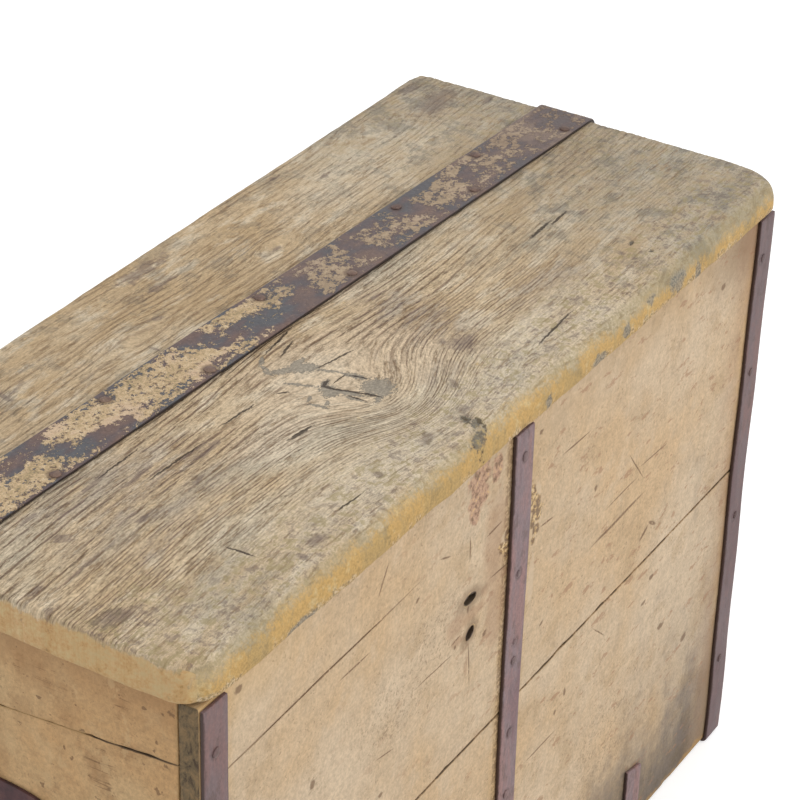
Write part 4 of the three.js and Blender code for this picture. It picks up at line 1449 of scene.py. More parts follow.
def place_piece(made: bpy.types.Object, body: str, finish: Finish, nodes: Sequence[str] = ()) -> None:
    """Gives a piece its material if it has none, puts it on its body and hides the nodes that it stands
    for.

    Args:
        made: The piece.
        body: The body that it moves with.
        finish: Its finish.
        nodes: The nodes that it replaces.
    """
    if not made.data.materials:
        made.data.materials.append(finish.material())
    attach(made, body)
    if nodes:
        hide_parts(*nodes)
    LOG.info("%s on %s, %d faces", made.name, body, len(made.data.polygons))


@dataclass
class Viewpoint:
    """The camera, at the photograph's angle."""

    azimuth: float = -58.841
    elevation: float = 31.2285
    roll: float = 1.7066
    target: tuple[float, float, float] = (32.46 * MM, -34.66 * MM, 445.16 * MM)
    distance: float = 1794.6 * MM
    sensor: float = 36.0
    lens: float = 119.718
    clip: tuple[float, float] = (0.05, 50.0)

    def build(self) -> bpy.types.Object:
        """Makes the camera and gives it to the scene.

        Returns:
            The camera.
        """
        a, e, r = (math.radians(angle) for angle in (self.azimuth, self.elevation, self.roll))
        back = Vector((math.sin(a) * math.cos(e), -math.cos(a) * math.cos(e), math.sin(e)))
        level = Vector((math.cos(a), math.sin(a), 0.0))
        rise = back.cross(level)
        right = level * math.cos(r) + rise * math.sin(r)
        up = rise * math.cos(r) - level * math.sin(r)
        data = bpy.data.cameras.new("view")
        data.sensor_width = self.sensor
        data.lens = self.lens
        data.clip_start, data.clip_end = self.clip
        camera = linked("view", data)
        turn = Matrix((right, up, back)).transposed().to_4x4()
        camera.matrix_world = Matrix.Translation(Vector(self.target) + back * self.distance) @ turn
        bpy.context.scene.camera = camera
        return camera


@dataclass
class Studio:
    """A pale floor, a white surround and soft lamps."""

    floor_size: float = 14.0
    world_light: float = 0.8
    key_power: float = 34.0
    key_size: float = 2.2
    key_place: tuple[float, float, float] = (1.3, -2.9, 2.2)
    top_power: float = 4.0
    top_size: float = 2.6
    top_place: tuple[float, float, float] = (0.2, 0.1, 3.2)
    aim: tuple[float, float, float] = (0.0, 0.0, 0.28)
    floor_tone: Tone = (0.78, 0.78, 0.78)
    floor_glow: float = 0.5

    def seen(self, g: Graph) -> Signal:
        """1 for rays that show the surround: from the camera, mirrored or let through.

        Args:
            g: The graph.

        Returns:
            1 or 0.
        """
        path = g.add("ShaderNodeLightPath")
        camera = Signal(g, path.outputs["Is Camera Ray"])
        glossy = Signal(g, path.outputs["Is Glossy Ray"])
        through = Signal(g, path.outputs["Is Transmission Ray"])
        return camera.most(glossy).most(through)

    def world(self) -> None:
        """Makes the white surround."""
        world = bpy.data.worlds.new("surround")
        g = empty_graph(world)
        strength = self.seen(g) * (1.0 - self.world_light) + self.world_light
        background = g.out("ShaderNodeBackground", {}, {"Color": (1.0, 1.0, 1.0), "Strength": strength})
        g.add("ShaderNodeOutputWorld", {}, {"Surface": background})
        bpy.context.scene.world = world

    def floor(self) -> None:
        """Makes the floor, which looks white and still takes a soft shadow."""
        mesh = bpy.data.meshes.new("floor")
        half = self.floor_size / 2
        corners = [(-half, -half, 0.0), (half, -half, 0.0), (half, half, 0.0), (-half, half, 0.0)]
        mesh.from_pydata(corners, [], [(0, 1, 2, 3)])
        floor = linked("floor", mesh)
        material = bpy.data.materials.new("floor_white")
        g = empty_graph(material)
        lit = g.out("ShaderNodeBsdfDiffuse", {}, {"Color": self.floor_tone})
        glow = g.out("ShaderNodeEmission", {}, {
            "Color": (1.0, 1.0, 1.0), "Strength": self.floor_glow * self.seen(g)})
        both = g.out("ShaderNodeAddShader", {}, {0: lit, 1: glow})
        g.add("ShaderNodeOutputMaterial", {}, {"Surface": both})
        mesh.materials.append(material)

    def lamp(self, name: str, place: tuple[float, float, float], power: float, size: float) -> None:
        """Adds a square lamp that faces the chest.

        Args:
            name: The lamp's name.
            place: Where it hangs.
            power: Its power in watts.
            size: The length of its sides.
        """
        data = bpy.data.lights.new(name, "AREA")
        data.energy = power
        data.size = size
        lamp = linked(name, data)
        lamp.location = place
        way = Vector(self.aim) - Vector(place)
        lamp.rotation_euler = way.to_track_quat("-Z", "Y").to_euler()

    def build(self) -> None:
        """Sets the stage and the light."""
        bpy.context.scene.view_settings.view_transform = "Standard"
        self.world()
        self.floor()
        self.lamp("key", self.key_place, self.key_power, self.key_size)
        self.lamp("overhead", self.top_place, self.top_power, self.top_size)


@dataclass(frozen=True)
class Check:
    """A fine drying crack along a board, in millimetres: its ends, depth and half width."""

    start: tuple[float, float]
    end: tuple[float, float]
    depth: float = 2.2
    half_width: float = 0.45


@dataclass
class Boards:
    """The boards of the case: long walls, end walls and floor."""

    step: float = 4.0 * MM
    edge_radius: float = 1.5 * MM
    joint_radius: float = 0.4 * MM
    edge_band: float = 9.0 * MM
    seam_left: float = -8.0 * MM
    seam_right: float = 6.0 * MM
    end_seam: tuple[float, float] = (440.9 * MM, 414.5 * MM)
    swell: float = 0.22 * MM
    chip_depth: float = 0.9 * MM
    edge_wear: float = 0.15 * MM
    bare_depth: float = 3.0 * MM
    front_check: Check = Check((-336, 428.2), (-152, 434.5))
    check_reach: float = 18.0 * MM
    check_skin: float = 0.2 * MM
    slots: Sequence[Mark] = marks((-64, 384, 7.5, 3.2, -4), (-62.5, 356, 5.2, 3.6, 35))
    slot_sides: int = 18
    slot_rough: float = 0.16
    slot_overrun: float = 5.0 * MM
    slot_seed: int = 11
    slot_sharp: float = 50.0
    reliefs: dict[str, Relief] = field(default_factory=dict)

    def height(self, g: Graph, group: NodeGroup) -> Signal:
        """The relief of a board: slow swells, chips along its edges and its drying crack.

        Args:
            g: The graph.
            group: The group that holds the named inputs.

        Returns:
            The height in metres.
        """
        place = g.place()
        edge = g.attribute("edge")
        check = g.attribute("check")
        slow = g.noise(place, (9.0, 9.0, 13.0), 2.0, 0.5, 2.0)
        brush = g.noise(place, (70.0, 70.0, 12.0), 2.0, 0.5, 7.0)
        bite = g.noise(place, 38.0, 4.0, 0.65, 11.0)
        swell = ((slow - 0.5) * 2.4 + (brush - 0.5) * 0.6) * group.input("Swell")
        chips = edge * bite.step(0.5, 0.72) * group.input("Chips")
        return swell - chips - self.edge_wear * edge - check * group.input("Check")

    def relief(self, finish: Finish) -> Relief:
        """Gives the relief for a finish, which is built once.

        Args:
            finish: The finish.

        Returns:
            The relief.
        """
        if finish.name not in self.reliefs:
            inputs = {"Swell": self.swell, "Chips": self.chip_depth, "Check": self.front_check.depth * MM}
            self.reliefs[finish.name] = Relief("board_" + finish.name, finish, self.height, inputs)
        return self.reliefs[finish.name]

    def levels(self, low: float, high: float, check: Check | None) -> np.ndarray:
        """Lattice levels of a board, with close ones where a check runs.

        Args:
            low: The board's foot.
            high: Its top.
            check: Its crack, or none.

        Returns:
            The levels, from the foot up.
        """
        levels = lines(low, high, self.step, self.edge_radius)
        if check is None:
            return levels
        middle = (check.start[1] + check.end[1]) / 2 * MM
        close = middle + np.array([-3.0, -1.0, 0.0, 1.0, 3.0]) * check.half_width * MM
        apart = np.abs(levels[:, None] - close[None]).min(1) > 1.2 * MM
        return np.sort(np.concatenate([levels[apart], close]))

    def board(self, name: str, node: str, side: Side | None, finish: Finish,
              check: Check | None = None, seam_edge: int = 0) -> bpy.types.Object:
        """Builds one board.

        Args:
            name: The piece's name.
            node: The node that it stands for.
            side: Which way its paint looks, or none for a bare board.
            finish: Its finish.
            check: A crack in it.
            seam_edge: 1 if its upper edge follows the long seam, -1 if its lower edge does.

        Returns:
            The piece, not yet riding.
        """
        low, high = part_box(node)
        skin = Skin(
            lines(low.x, high.x, self.step, self.edge_radius),
            lines(low.y, high.y, self.step, self.edge_radius),
            self.levels(low.z, high.z, check),
        )
        axis = 1 if side in (Side.FRONT, Side.BACK) else 0 if side else 2
        skin.values["edge"] = skin.rim(axis, self.edge_band) ** 2
        skin.values["coat"] = self.coat(skin, side)
        skin.values["check"] = self.split(skin, check)
        skin.eased(self.edge_radius if side not in (Side.LEFT, Side.RIGHT) else self.joint_radius)
        if seam_edge and axis == 0:
            self.follow_end_seam(skin, seam_edge)
        elif seam_edge:
            self.follow_seam(skin, seam_edge)
        return self.relief(finish).run(skin.object(name))

    def coat(self, skin: Skin, side: Side | None) -> np.ndarray:
        """1 where a board is painted and 0 where it is bare.

        Args:
            skin: The board's shell.
            side: Which way its paint looks, or none for a bare board.

        Returns:
            The share for each point.
        """
        if side is None:
            return np.zeros(len(skin.points))
        axis = 1 if side in (Side.FRONT, Side.BACK) else 0
        outer = skin.low[axis] if side in (Side.FRONT, Side.LEFT) else skin.high[axis]
        return unit(1 - np.abs(skin.points[:, axis] - outer) / self.bare_depth)

    def split(self, skin: Skin, check: Check | None) -> np.ndarray:
        """How deep a check is at each point, and bends the lattice to follow it.

        Args:
            skin: The board's shell.
            check: Its crack, or none.

        Returns:
            The share of the crack's depth for each point.
        """
        if check is None:
            return np.zeros(len(skin.points))
        x, z = skin.points[:, 0], skin.points[:, 2]
        middle = (check.start[1] + check.end[1]) / 2 * MM
        share = (x - check.start[0] * MM) / ((check.end[0] - check.start[0]) * MM)
        wobble = 0.5 * MM * np.sin(x * 47) + 0.3 * MM * np.sin(x * 131 + 1)
        rise = (check.end[1] - check.start[1]) * MM * (unit(share) - 0.5) + wobble
        near = unit(1 - np.abs(z - middle) / self.check_reach)
        outside = unit(1 - (skin.points[:, 1] - skin.low[1]) / self.check_skin)
        on_line = (np.abs(z - middle) < 0.3 * check.half_width * MM) * outside
        taper = unit(4 * np.minimum(share, 1 - share))
        skin.points[:, 2] = z + rise * near
        return on_line * taper

    def follow_seam(self, skin: Skin, seam_edge: int) -> None:
        """Leans the edge at the long seam, which isn't quite level.

        Args:
            skin: The board's shell.
            seam_edge: 1 if its upper edge leans, -1 if its lower edge does.
        """
        span = (skin.points[:, 0] - skin.low[0]) / (skin.high[0] - skin.low[0])
        height = (skin.points[:, 2] - skin.low[2]) / (skin.high[2] - skin.low[2])
        weight = height if seam_edge > 0 else 1 - height
        lean = self.seam_left + (self.seam_right - self.seam_left) * span
        skin.points[:, 2] += lean * weight

    def follow_end_seam(self, skin: Skin, seam_edge: int) -> None:
        """Leans the edge at the upper seam of an end wall, which falls towards the back.

        Args:
            skin: The board's shell.
            seam_edge: 1 if its upper edge leans, -1 if its lower edge does.
        """
        low, high = skin.low, skin.high
        span = (skin.points[:, 1] - low[1]) / (high[1] - low[1])
        height = (skin.points[:, 2] - low[2]) / (high[2] - low[2])
        level, weight = (high[2], height) if seam_edge > 0 else (low[2], 1 - height)
        line = self.end_seam[0] + (self.end_seam[1] - self.end_seam[0]) * span
        skin.points[:, 2] += (line - level) * weight

    def cut_slots(self, board: bpy.types.Object) -> None:
        """Cuts the two slots that the lost hasp left, with ragged outlines.

        Args:
            board: The upper front board.
        """
        shell = bmesh.new()
        low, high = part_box("front_board_upper")
        rng = np.random.default_rng(self.slot_seed)
        for slot in self.slots:
            turn = math.radians(slot.turn)
            ring = []
            for angle in np.linspace(0, 2 * math.pi, self.slot_sides, endpoint=False):
                reach = 1 + self.slot_rough * rng.uniform(-1, 1)
                along = slot.long * reach * math.cos(angle)
                over = slot.wide * reach * math.sin(angle)
                x = slot.across + along * math.cos(turn) - over * math.sin(turn)
                z = slot.up + along * math.sin(turn) + over * math.cos(turn)
                ring.append((x * MM, z * MM))
            near = [shell.verts.new((x, low.y - self.slot_overrun, z)) for x, z in ring]
            far = [shell.verts.new((x, high.y + self.slot_overrun, z)) for x, z in ring]
            shell.faces.new(near)
            shell.faces.new(far[::-1])
            for i in range(len(ring)):
                j = (i + 1) % len(ring)
                shell.faces.new((near[j], near[i], far[i], far[j]))
        bmesh.ops.recalc_face_normals(shell, faces=shell.faces)
        cut(board, from_shell("slot_cutter", shell), self.slot_sharp)

    def build(self) -> None:
        """Builds all the boards of the case."""
        front, ends, bare = BoardPaint(), EndPaint(), BareWood()
        back = BoardPaint(name="back_paint_old", front=False)
        upper = self.board("front_upper", "front_board_upper", Side.FRONT, front, self.front_check, -1)
        self.cut_slots(upper)
        place_piece(upper, "case", front, ["front_board_upper"])
        lower = self.board("front_lower", "front_board_lower", Side.FRONT, front, seam_edge=1)
        place_piece(lower, "case", front, ["front_board_lower"])
        for level, edge in (("upper", -1), ("lower", 1)):
            node = "back_board_" + level
            made = self.board("back_" + level, node, Side.BACK, back, seam_edge=edge)
            place_piece(made, "case", back, [node])
        for side in (Side.LEFT, Side.RIGHT):
            for level in ("bottom", "middle", "top"):
                node = side.value + "_end_board_" + level
                edge = {"bottom": 0, "middle": 1, "top": -1}[level]
                made = self.board(side.value + "_end_" + level, node, side, ends, seam_edge=edge)
                place_piece(made, "case", ends, [node])
        for place in ("front", "back"):
            node = "bottom_board_" + place
            place_piece(self.board("floor_" + place, node, None, bare), "case", bare, [node])


@dataclass
class LidPlanks:
    """The two weathered planks of the lid and the battens under them."""

    step_along: float = 5.0 * MM
    step_knot: float = 2.6 * MM
    step_across: float = 1.15 * MM
    nose: tuple[float, float] = (12.0 * MM, 17.0 * MM)
    tail: tuple[float, float] = (6.0 * MM, 8.0 * MM)
    ends: tuple[float, float] = (3.4 * MM, 4.2 * MM)
    soft_ends: float = 8.0 * MM
    soft_width: float = 50.0 * MM
    under_radius: float = 5.0 * MM
    corner_front: tuple[tuple[float, float], ...] = ((26.0 * MM, 24.0 * MM), (18.0 * MM, 27.0 * MM))
    corner_back: tuple[tuple[float, float], ...] = ((14.0 * MM, 14.0 * MM), (15.0 * MM, 15.0 * MM))
    seam_left: float = 46.5 * MM
    seam_right: float = 25.5 * MM
    seam_gap: float = 0.9 * MM
    back_flare: float = 5.0 * MM
    groove_depth: float = 0.6 * MM
    swell: float = 0.9 * MM
    nose_wear: float = 2.5 * MM
    rim_width: float = 15.0 * MM
    recess_below: float = 8.0 * MM
    leaf_rise: float = 3.2 * MM
    leaf_gap: float = 0.5 * MM
    barrel_inset: float = 24.0 * MM
    barrel_overrun: float = 9.0 * MM
    barrel_gap: float = 0.9 * MM
    recess_sharp: float = 60.0
    knot_span: tuple[float, float] = (-135.0 * MM, 45.0 * MM)
    batten_radius: float = 2.2 * MM
    chip_bite: float = 1.6 * MM
    knot_rise: float = 0.25 * MM

    def flow(self, points: np.ndarray, front: bool) -> np.ndarray:
        """The grain's own coordinates, which bend round the knots.

        Args:
            points: Places on the plank.
            front: Whether it is the front plank, with the large knot.

        Returns:
            For each point its place along and across the grain.
        """
        x, y = points[:, 0] / MM, points[:, 1] / MM
        drift = 2.2 * np.sin(x / 83 + 0.4) + 1.3 * np.sin(x / 37 + y / 60)
        across = y + drift
        if front:
            reach = np.where(x < -64, 44.0, 56.0)
            bell = np.exp(-((x + 64) / reach) ** 2)
            rise = unit((y + 165) / 78)
            fall = unit((-12 - y) / 72)
            across = across + 35 * bell * smooth(rise) * smooth(fall)
            across = across - 5 * np.exp(-((x + 40) / 60) ** 2 - ((y - 12) / 20) ** 2)
        else:
            for place, up, size in ((-94, 90, 10), (61, 88, 7), (262, 130, 12)):
                gap_x, gap_y = (x - place) / (3.2 * size), (y - up) / (1.5 * size)
                across = across - (y - up) * 0.85 * np.exp(-gap_x ** 2 - gap_y ** 2)
        return np.stack([x * MM, across * MM, points[:, 2] * 0], 1)

    def seam(self, x: np.ndarray) -> np.ndarray:
        """Where the seam between the planks runs at each place along the lid.

        Args:
            x: Places along the lid.

        Returns:
            Where the seam lies across the lid at each.
        """
        low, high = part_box("lid_plank_front")
        share = (x - low.x) / (high.x - low.x)
        return self.seam_left + (self.seam_right - self.seam_left) * share

    def rounded(self, skin: Skin, side: int) -> None:
        """Gives a plank its nose or tail, its worn ends and its round corners.

        Args:
            skin: The shell, in which the second axis runs from 0 at the seam to 1 at the edge.
            side: -1 for the front plank and 1 for the back one.
        """
        low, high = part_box("lid_plank_front" if side < 0 else "lid_plank_back")
        edge = low.y if side < 0 else high.y
        top, under = high.z, low.z
        x, z = skin.points[:, 0].copy(), skin.points[:, 2].copy()
        seam = self.seam(x) + side * self.seam_gap / 2
        share = (skin.points[:, 1] - skin.low[1]) / (skin.high[1] - skin.low[1])
        inward = share if side > 0 else 1 - share
        y = seam + (edge - seam) * inward
        reach_y, drop_y = self.nose if side < 0 else self.tail
        near = unit(1 - np.abs(y - edge) / self.soft_width)
        soft = self.soft_ends * smooth(near) * (side < 0)
        reach_x, drop_x = (size + soft for size in self.ends)
        middle_x, half_x = (low.x + high.x) / 2, (high.x - low.x) / 2
        out_x = unit((np.abs(x - middle_x) - (half_x - reach_x)) / reach_x)
        out_y = unit(1 - np.abs(y - edge) / reach_y)
        blend = out_x + out_y
        drop = np.where(blend > 0, (drop_x * out_x + drop_y * out_y) / np.maximum(blend, 1e-9), drop_y)
        up_out = unit((z - (top - drop)) / drop)
        down_out = unit(((under + self.under_radius) - z) / self.under_radius)
        out_z = np.maximum(up_out, down_out)
        length = np.sqrt(out_x ** 2 + out_y ** 2 + out_z ** 2)
        most = np.maximum(np.maximum(out_x, out_y), out_z)
        shrink = np.where(length > 0, most / np.maximum(length, 1e-9), 1)
        side_x = np.sign(x - middle_x)
        new_x = np.where(out_x > 0, middle_x + side_x * (half_x - reach_x + reach_x * out_x * shrink), x)
        new_y = np.where(out_y > 0, edge - side * reach_y * (1 - out_y * shrink), y)
        new_z = np.where(up_out > 0, top - drop + drop * up_out * shrink, z)
        new_z = np.where(down_out > 0, under + self.under_radius * (1 - down_out * shrink), new_z)
        radii = self.corner_front if side < 0 else self.corner_back
        for end, (long, deep) in zip((-1, 1), radii):
            over_x = unit((end * (new_x - middle_x) - (half_x - long)) / long)
            over_y = unit((side * (new_y - edge) + deep) / deep)
            span = np.maximum(np.hypot(over_x, over_y), 1e-9)
            square = (over_x ** 6 + over_y ** 6) ** (1 / 6)
            pull = np.where((over_x > 0) & (over_y > 0), np.minimum(square / span, 0.999999), 1)
            new_x = np.where(pull < 1, middle_x + end * (half_x - long + long * over_x * pull), new_x)
            new_y = np.where(pull < 1, edge - side * deep * (1 - over_y * pull), new_y)
        if side > 0:
            along = (new_x - low.x) / (high.x - low.x)
            upper = unit((new_z - under) / (0.6 * (top - under)))
            new_y = new_y + self.back_flare * along ** 1.5 * inward ** 3 * upper
        skin.points = np.stack([new_x, new_y, new_z], 1)

    def height(self, g: Graph, group: NodeGroup) -> Signal:
        """The plank's relief: raised grain on top, and worn, wavy edges.

        Args:
            g: The graph.
            group: The group that holds the named inputs.

        Returns:
            The height in metres.
        """
        place = g.place()
        flow = g.attribute_vector("grain")
        top = g.attribute("top")
        rim = g.attribute("rim")
        wide, fine = WeatheredPlank().grooves(g, flow)
        x, y, _ = g.parts(place)
        flat = g.joined(x, y, 0.0)
        knot = g.nearest(flat, KNOT_HEART).step(1.2, 0.8)
        calm = 1.0 - knot
        grain = (0.75 * wide + 0.5 * fine) * calm * top * group.input("Groove")
        slow = g.noise(place, (6.0, 10.0, 0.0), 2.0, 0.5, 20.0) - 0.5
        wave = g.noise(place, (22.0, 22.0, 22.0), 4.0, 0.6, 21.0) - 0.5
        bump = g.noise(place, 90.0, 3.0, 0.6, 22.0) - 0.5
        wear = rim * (2.0 * wave + 0.8 * bump) * group.input("Wear")
        chip = g.nearest(flat, LID_CHIPS).step(1.1, 0.6) * self.chip_bite
        patch = g.nearest(flat, KNOT_PATCHES).step(1.1, 0.8) * self.knot_rise
        return 2.0 * slow * group.input("Swell") + wear - grain - chip * top + patch * top

    def battens(self) -> None:
        """Builds the battens that tie the planks from below."""
        bare = BareWood(name="bare_wood_crosswise", along_y=True)
        boards = Boards(edge_radius=self.batten_radius)
        for place in ("left", "centre", "right"):
            node = "lid_batten_" + place
            made = boards.board("batten_" + place, node, None, bare)
            place_piece(made, "lid", bare, [node])

    def hinge_room(self) -> bpy.types.Object:
        """Makes the cutter for the recesses of the hinges in the underside.

        Returns:
            The cutter.
        """
        shell = bmesh.new()
        for side in ("left", "right"):
            low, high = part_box("hinge_" + side + "_lid_leaf")
            pin_low, pin_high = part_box("hinge_" + side + "_pin")
            below = low.z - self.recess_below
            boxes = (
                ((low.x, low.y, below), (high.x, high.y, low.z + self.leaf_rise), self.leaf_gap),
                ((pin_low.x, low.y + self.barrel_inset, below),
                 (pin_high.x, high.y + self.barrel_overrun, high.z), self.barrel_gap))
            for near, far, gap in boxes:
                made = bmesh.ops.create_cube(shell, size=1.0)["verts"]
                size = [b - a + 2 * gap for a, b in zip(near, far)]
                middle = [(a + b) / 2 for a, b in zip(near, far)]
                bmesh.ops.scale(shell, vec=size, verts=made)
                bmesh.ops.translate(shell, vec=middle, verts=made)
        return from_shell("hinge_room", shell)

    def plank(self, side: int, relief: Relief) -> bpy.types.Object:
        """Builds one plank.

        Args:
            side: -1 for the front plank and 1 for the back one.
            relief: The relief that it gets.

        Returns:
            The piece.
        """
        name = "front" if side < 0 else "back"
        low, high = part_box("lid_plank_" + name)
        edge = low.y if side < 0 else high.y
        width = abs(edge - (self.seam_left + self.seam_right) / 2)
        xs = self.columns(low.x, high.x, side)
        ys = np.linspace(0, width, round(width / self.step_across) + 1)
        margin = self.under_radius
        zs = np.concatenate([
            np.linspace(low.z, low.z + margin, 4), np.linspace(low.z + margin, high.z, 8)[1:]])
        skin = Skin(xs, ys, zs)
        middle, half = (low.x + high.x) / 2, (high.x - low.x) / 2
        on_end = (np.abs(skin.points[:, 0] - middle) > half - 0.1 * MM) * 1.0
        self.rounded(skin, side)
        x, y, z = skin.points.T
        front_gap = np.abs(y - edge)
        end_gap = half - np.abs(x - middle)
        gap = np.minimum(front_gap, end_gap)
        skin.values["grain"] = self.flow(skin.points, side < 0)
        skin.values["top"] = unit((z - (high.z - 3.2 * MM)) / (2.2 * MM))
        skin.values["under"] = unit(1 - (z - low.z) / (3 * MM)) * unit(gap / (9 * MM))
        strength = 1.0 if side < 0 else 0.35
        skin.values["rim"] = np.maximum(
            strength * unit(1 - front_gap / self.rim_width),
            0.45 * unit(1 - end_gap / (0.6 * self.rim_width)))
        drop = (high.z - z) / (0.5 * (high.z - low.z))
        by_front = unit((self.rim_width - front_gap) / (5 * MM))
        by_end = np.maximum(unit((3 * MM - end_gap) / (2 * MM)), on_end)
        by_end = by_end * unit((front_gap - 5 * MM) / (9 * MM))
        tint = 0.22 * unit(1 - front_gap / self.rim_width)
        skin.values["nose"] = strength * (drop * by_front + tint)
        skin.values["ends"] = unit(2.6 * drop) * by_end
        made = relief.run(skin.object("lid_plank_" + name + "_weathered"))
        if side > 0:
            cut(made, self.hinge_room(), self.recess_sharp)
        return made

    def columns(self, low: float, high: float, side: int) -> np.ndarray:
        """Lattice lines along the lid, closer together near the front plank's knot.

        Args:
            low: The lid's left end.
            high: Its right end.
            side: -1 for the front plank and 1 for the back one.

        Returns:
            The places of the lines.
        """
        places = [low]
        while places[-1] < high:
            near_knot = side < 0 and self.knot_span[0] < places[-1] < self.knot_span[1]
            gap = min(places[-1] - low, high - places[-1])
            step = 0.9 * MM if gap < 6 * MM else 1.8 * MM if gap < 30 * MM else self.step_along
            step = self.step_knot if near_knot else step
            places.append(places[-1] + step)
        places = np.array(places)
        return low + (places - low) * (high - low) / (places[-1] - low)

    def build(self) -> None:
        """Builds the planks and battens."""
        finish = WeatheredPlank()
        inputs = {"Groove": self.groove_depth, "Swell": self.swell, "Wear": self.nose_wear}
        relief = Relief("plank_relief", finish, self.height, inputs)
        for side, name in ((-1, "front"), (1, "back")):
            place_piece(self.plank(side, relief), "lid", finish, ["lid_plank_" + name])
        self.battens()


@dataclass
class Route:
    """A bent line in a plane, with rounded corners, that a strip of iron follows."""

    corners: Sequence[tuple[float, float]]
    radius: float
    step: float

    def trace(self) -> tuple[np.ndarray, np.ndarray, np.ndarray]:
        """Walks along the route.

        Returns:
            Points, directions and lengths from the start.
        """
        corners = [np.array(corner, float) for corner in self.corners]
        points = [corners[0]]
        for before, corner, after in zip(corners, corners[1:], corners[2:]):
            came = (corner - before) / np.linalg.norm(corner - before)
            goes = (after - corner) / np.linalg.norm(after - corner)
            turn = math.atan2(came[0] * goes[1] - came[1] * goes[0], float(came @ goes))
            inset = self.radius * math.tan(abs(turn) / 2)
            side = np.array([-came[1], came[0]]) * np.sign(turn)
            centre = corner - came * inset + side * self.radius
            for share in np.linspace(0, 1, 8):
                angle = turn * share
                spoke = -side * self.radius
                turned = np.array([spoke[0] * math.cos(angle) - spoke[1] * math.sin(angle),
                                   spoke[0] * math.sin(angle) + spoke[1] * math.cos(angle)])
                points.append(centre + turned)
        points.append(corners[-1])
        filled = [points[0]]
        for near, far in zip(points, points[1:]):
            count = max(1, round(float(np.linalg.norm(far - near)) / self.step))
            filled += [near + (far - near) * share for share in np.linspace(0, 1, count + 1)[1:]]
        filled = np.array(filled)
        ways = np.gradient(filled, axis=0)
        ways = ways / np.linalg.norm(ways, axis=1, keepdims=True)
        steps = np.linalg.norm(np.diff(filled, axis=0), axis=1)
        return filled, ways, np.concatenate([[0], np.cumsum(steps)])


@dataclass(frozen=True)
class Sway:
    """How the middle of an upright strap strays: its place, its lean to the top and its waves."""

    place: float
    lean: float = 0.0
    waves: tuple[tuple[float, float, float], ...] = ()
    height: float = 0.48

    def at(self, base: np.ndarray) -> np.ndarray:
        """Where the middle lies for each point along the route.

        Args:
            base: The points along the route.

        Returns:
            The middle's place across for each point.
        """
        z = base[:, 1]
        way = self.place + self.lean * unit(z / self.height)
        return way + sum(reach * np.sin(z * rate + start) for reach, rate, start in self.waves)


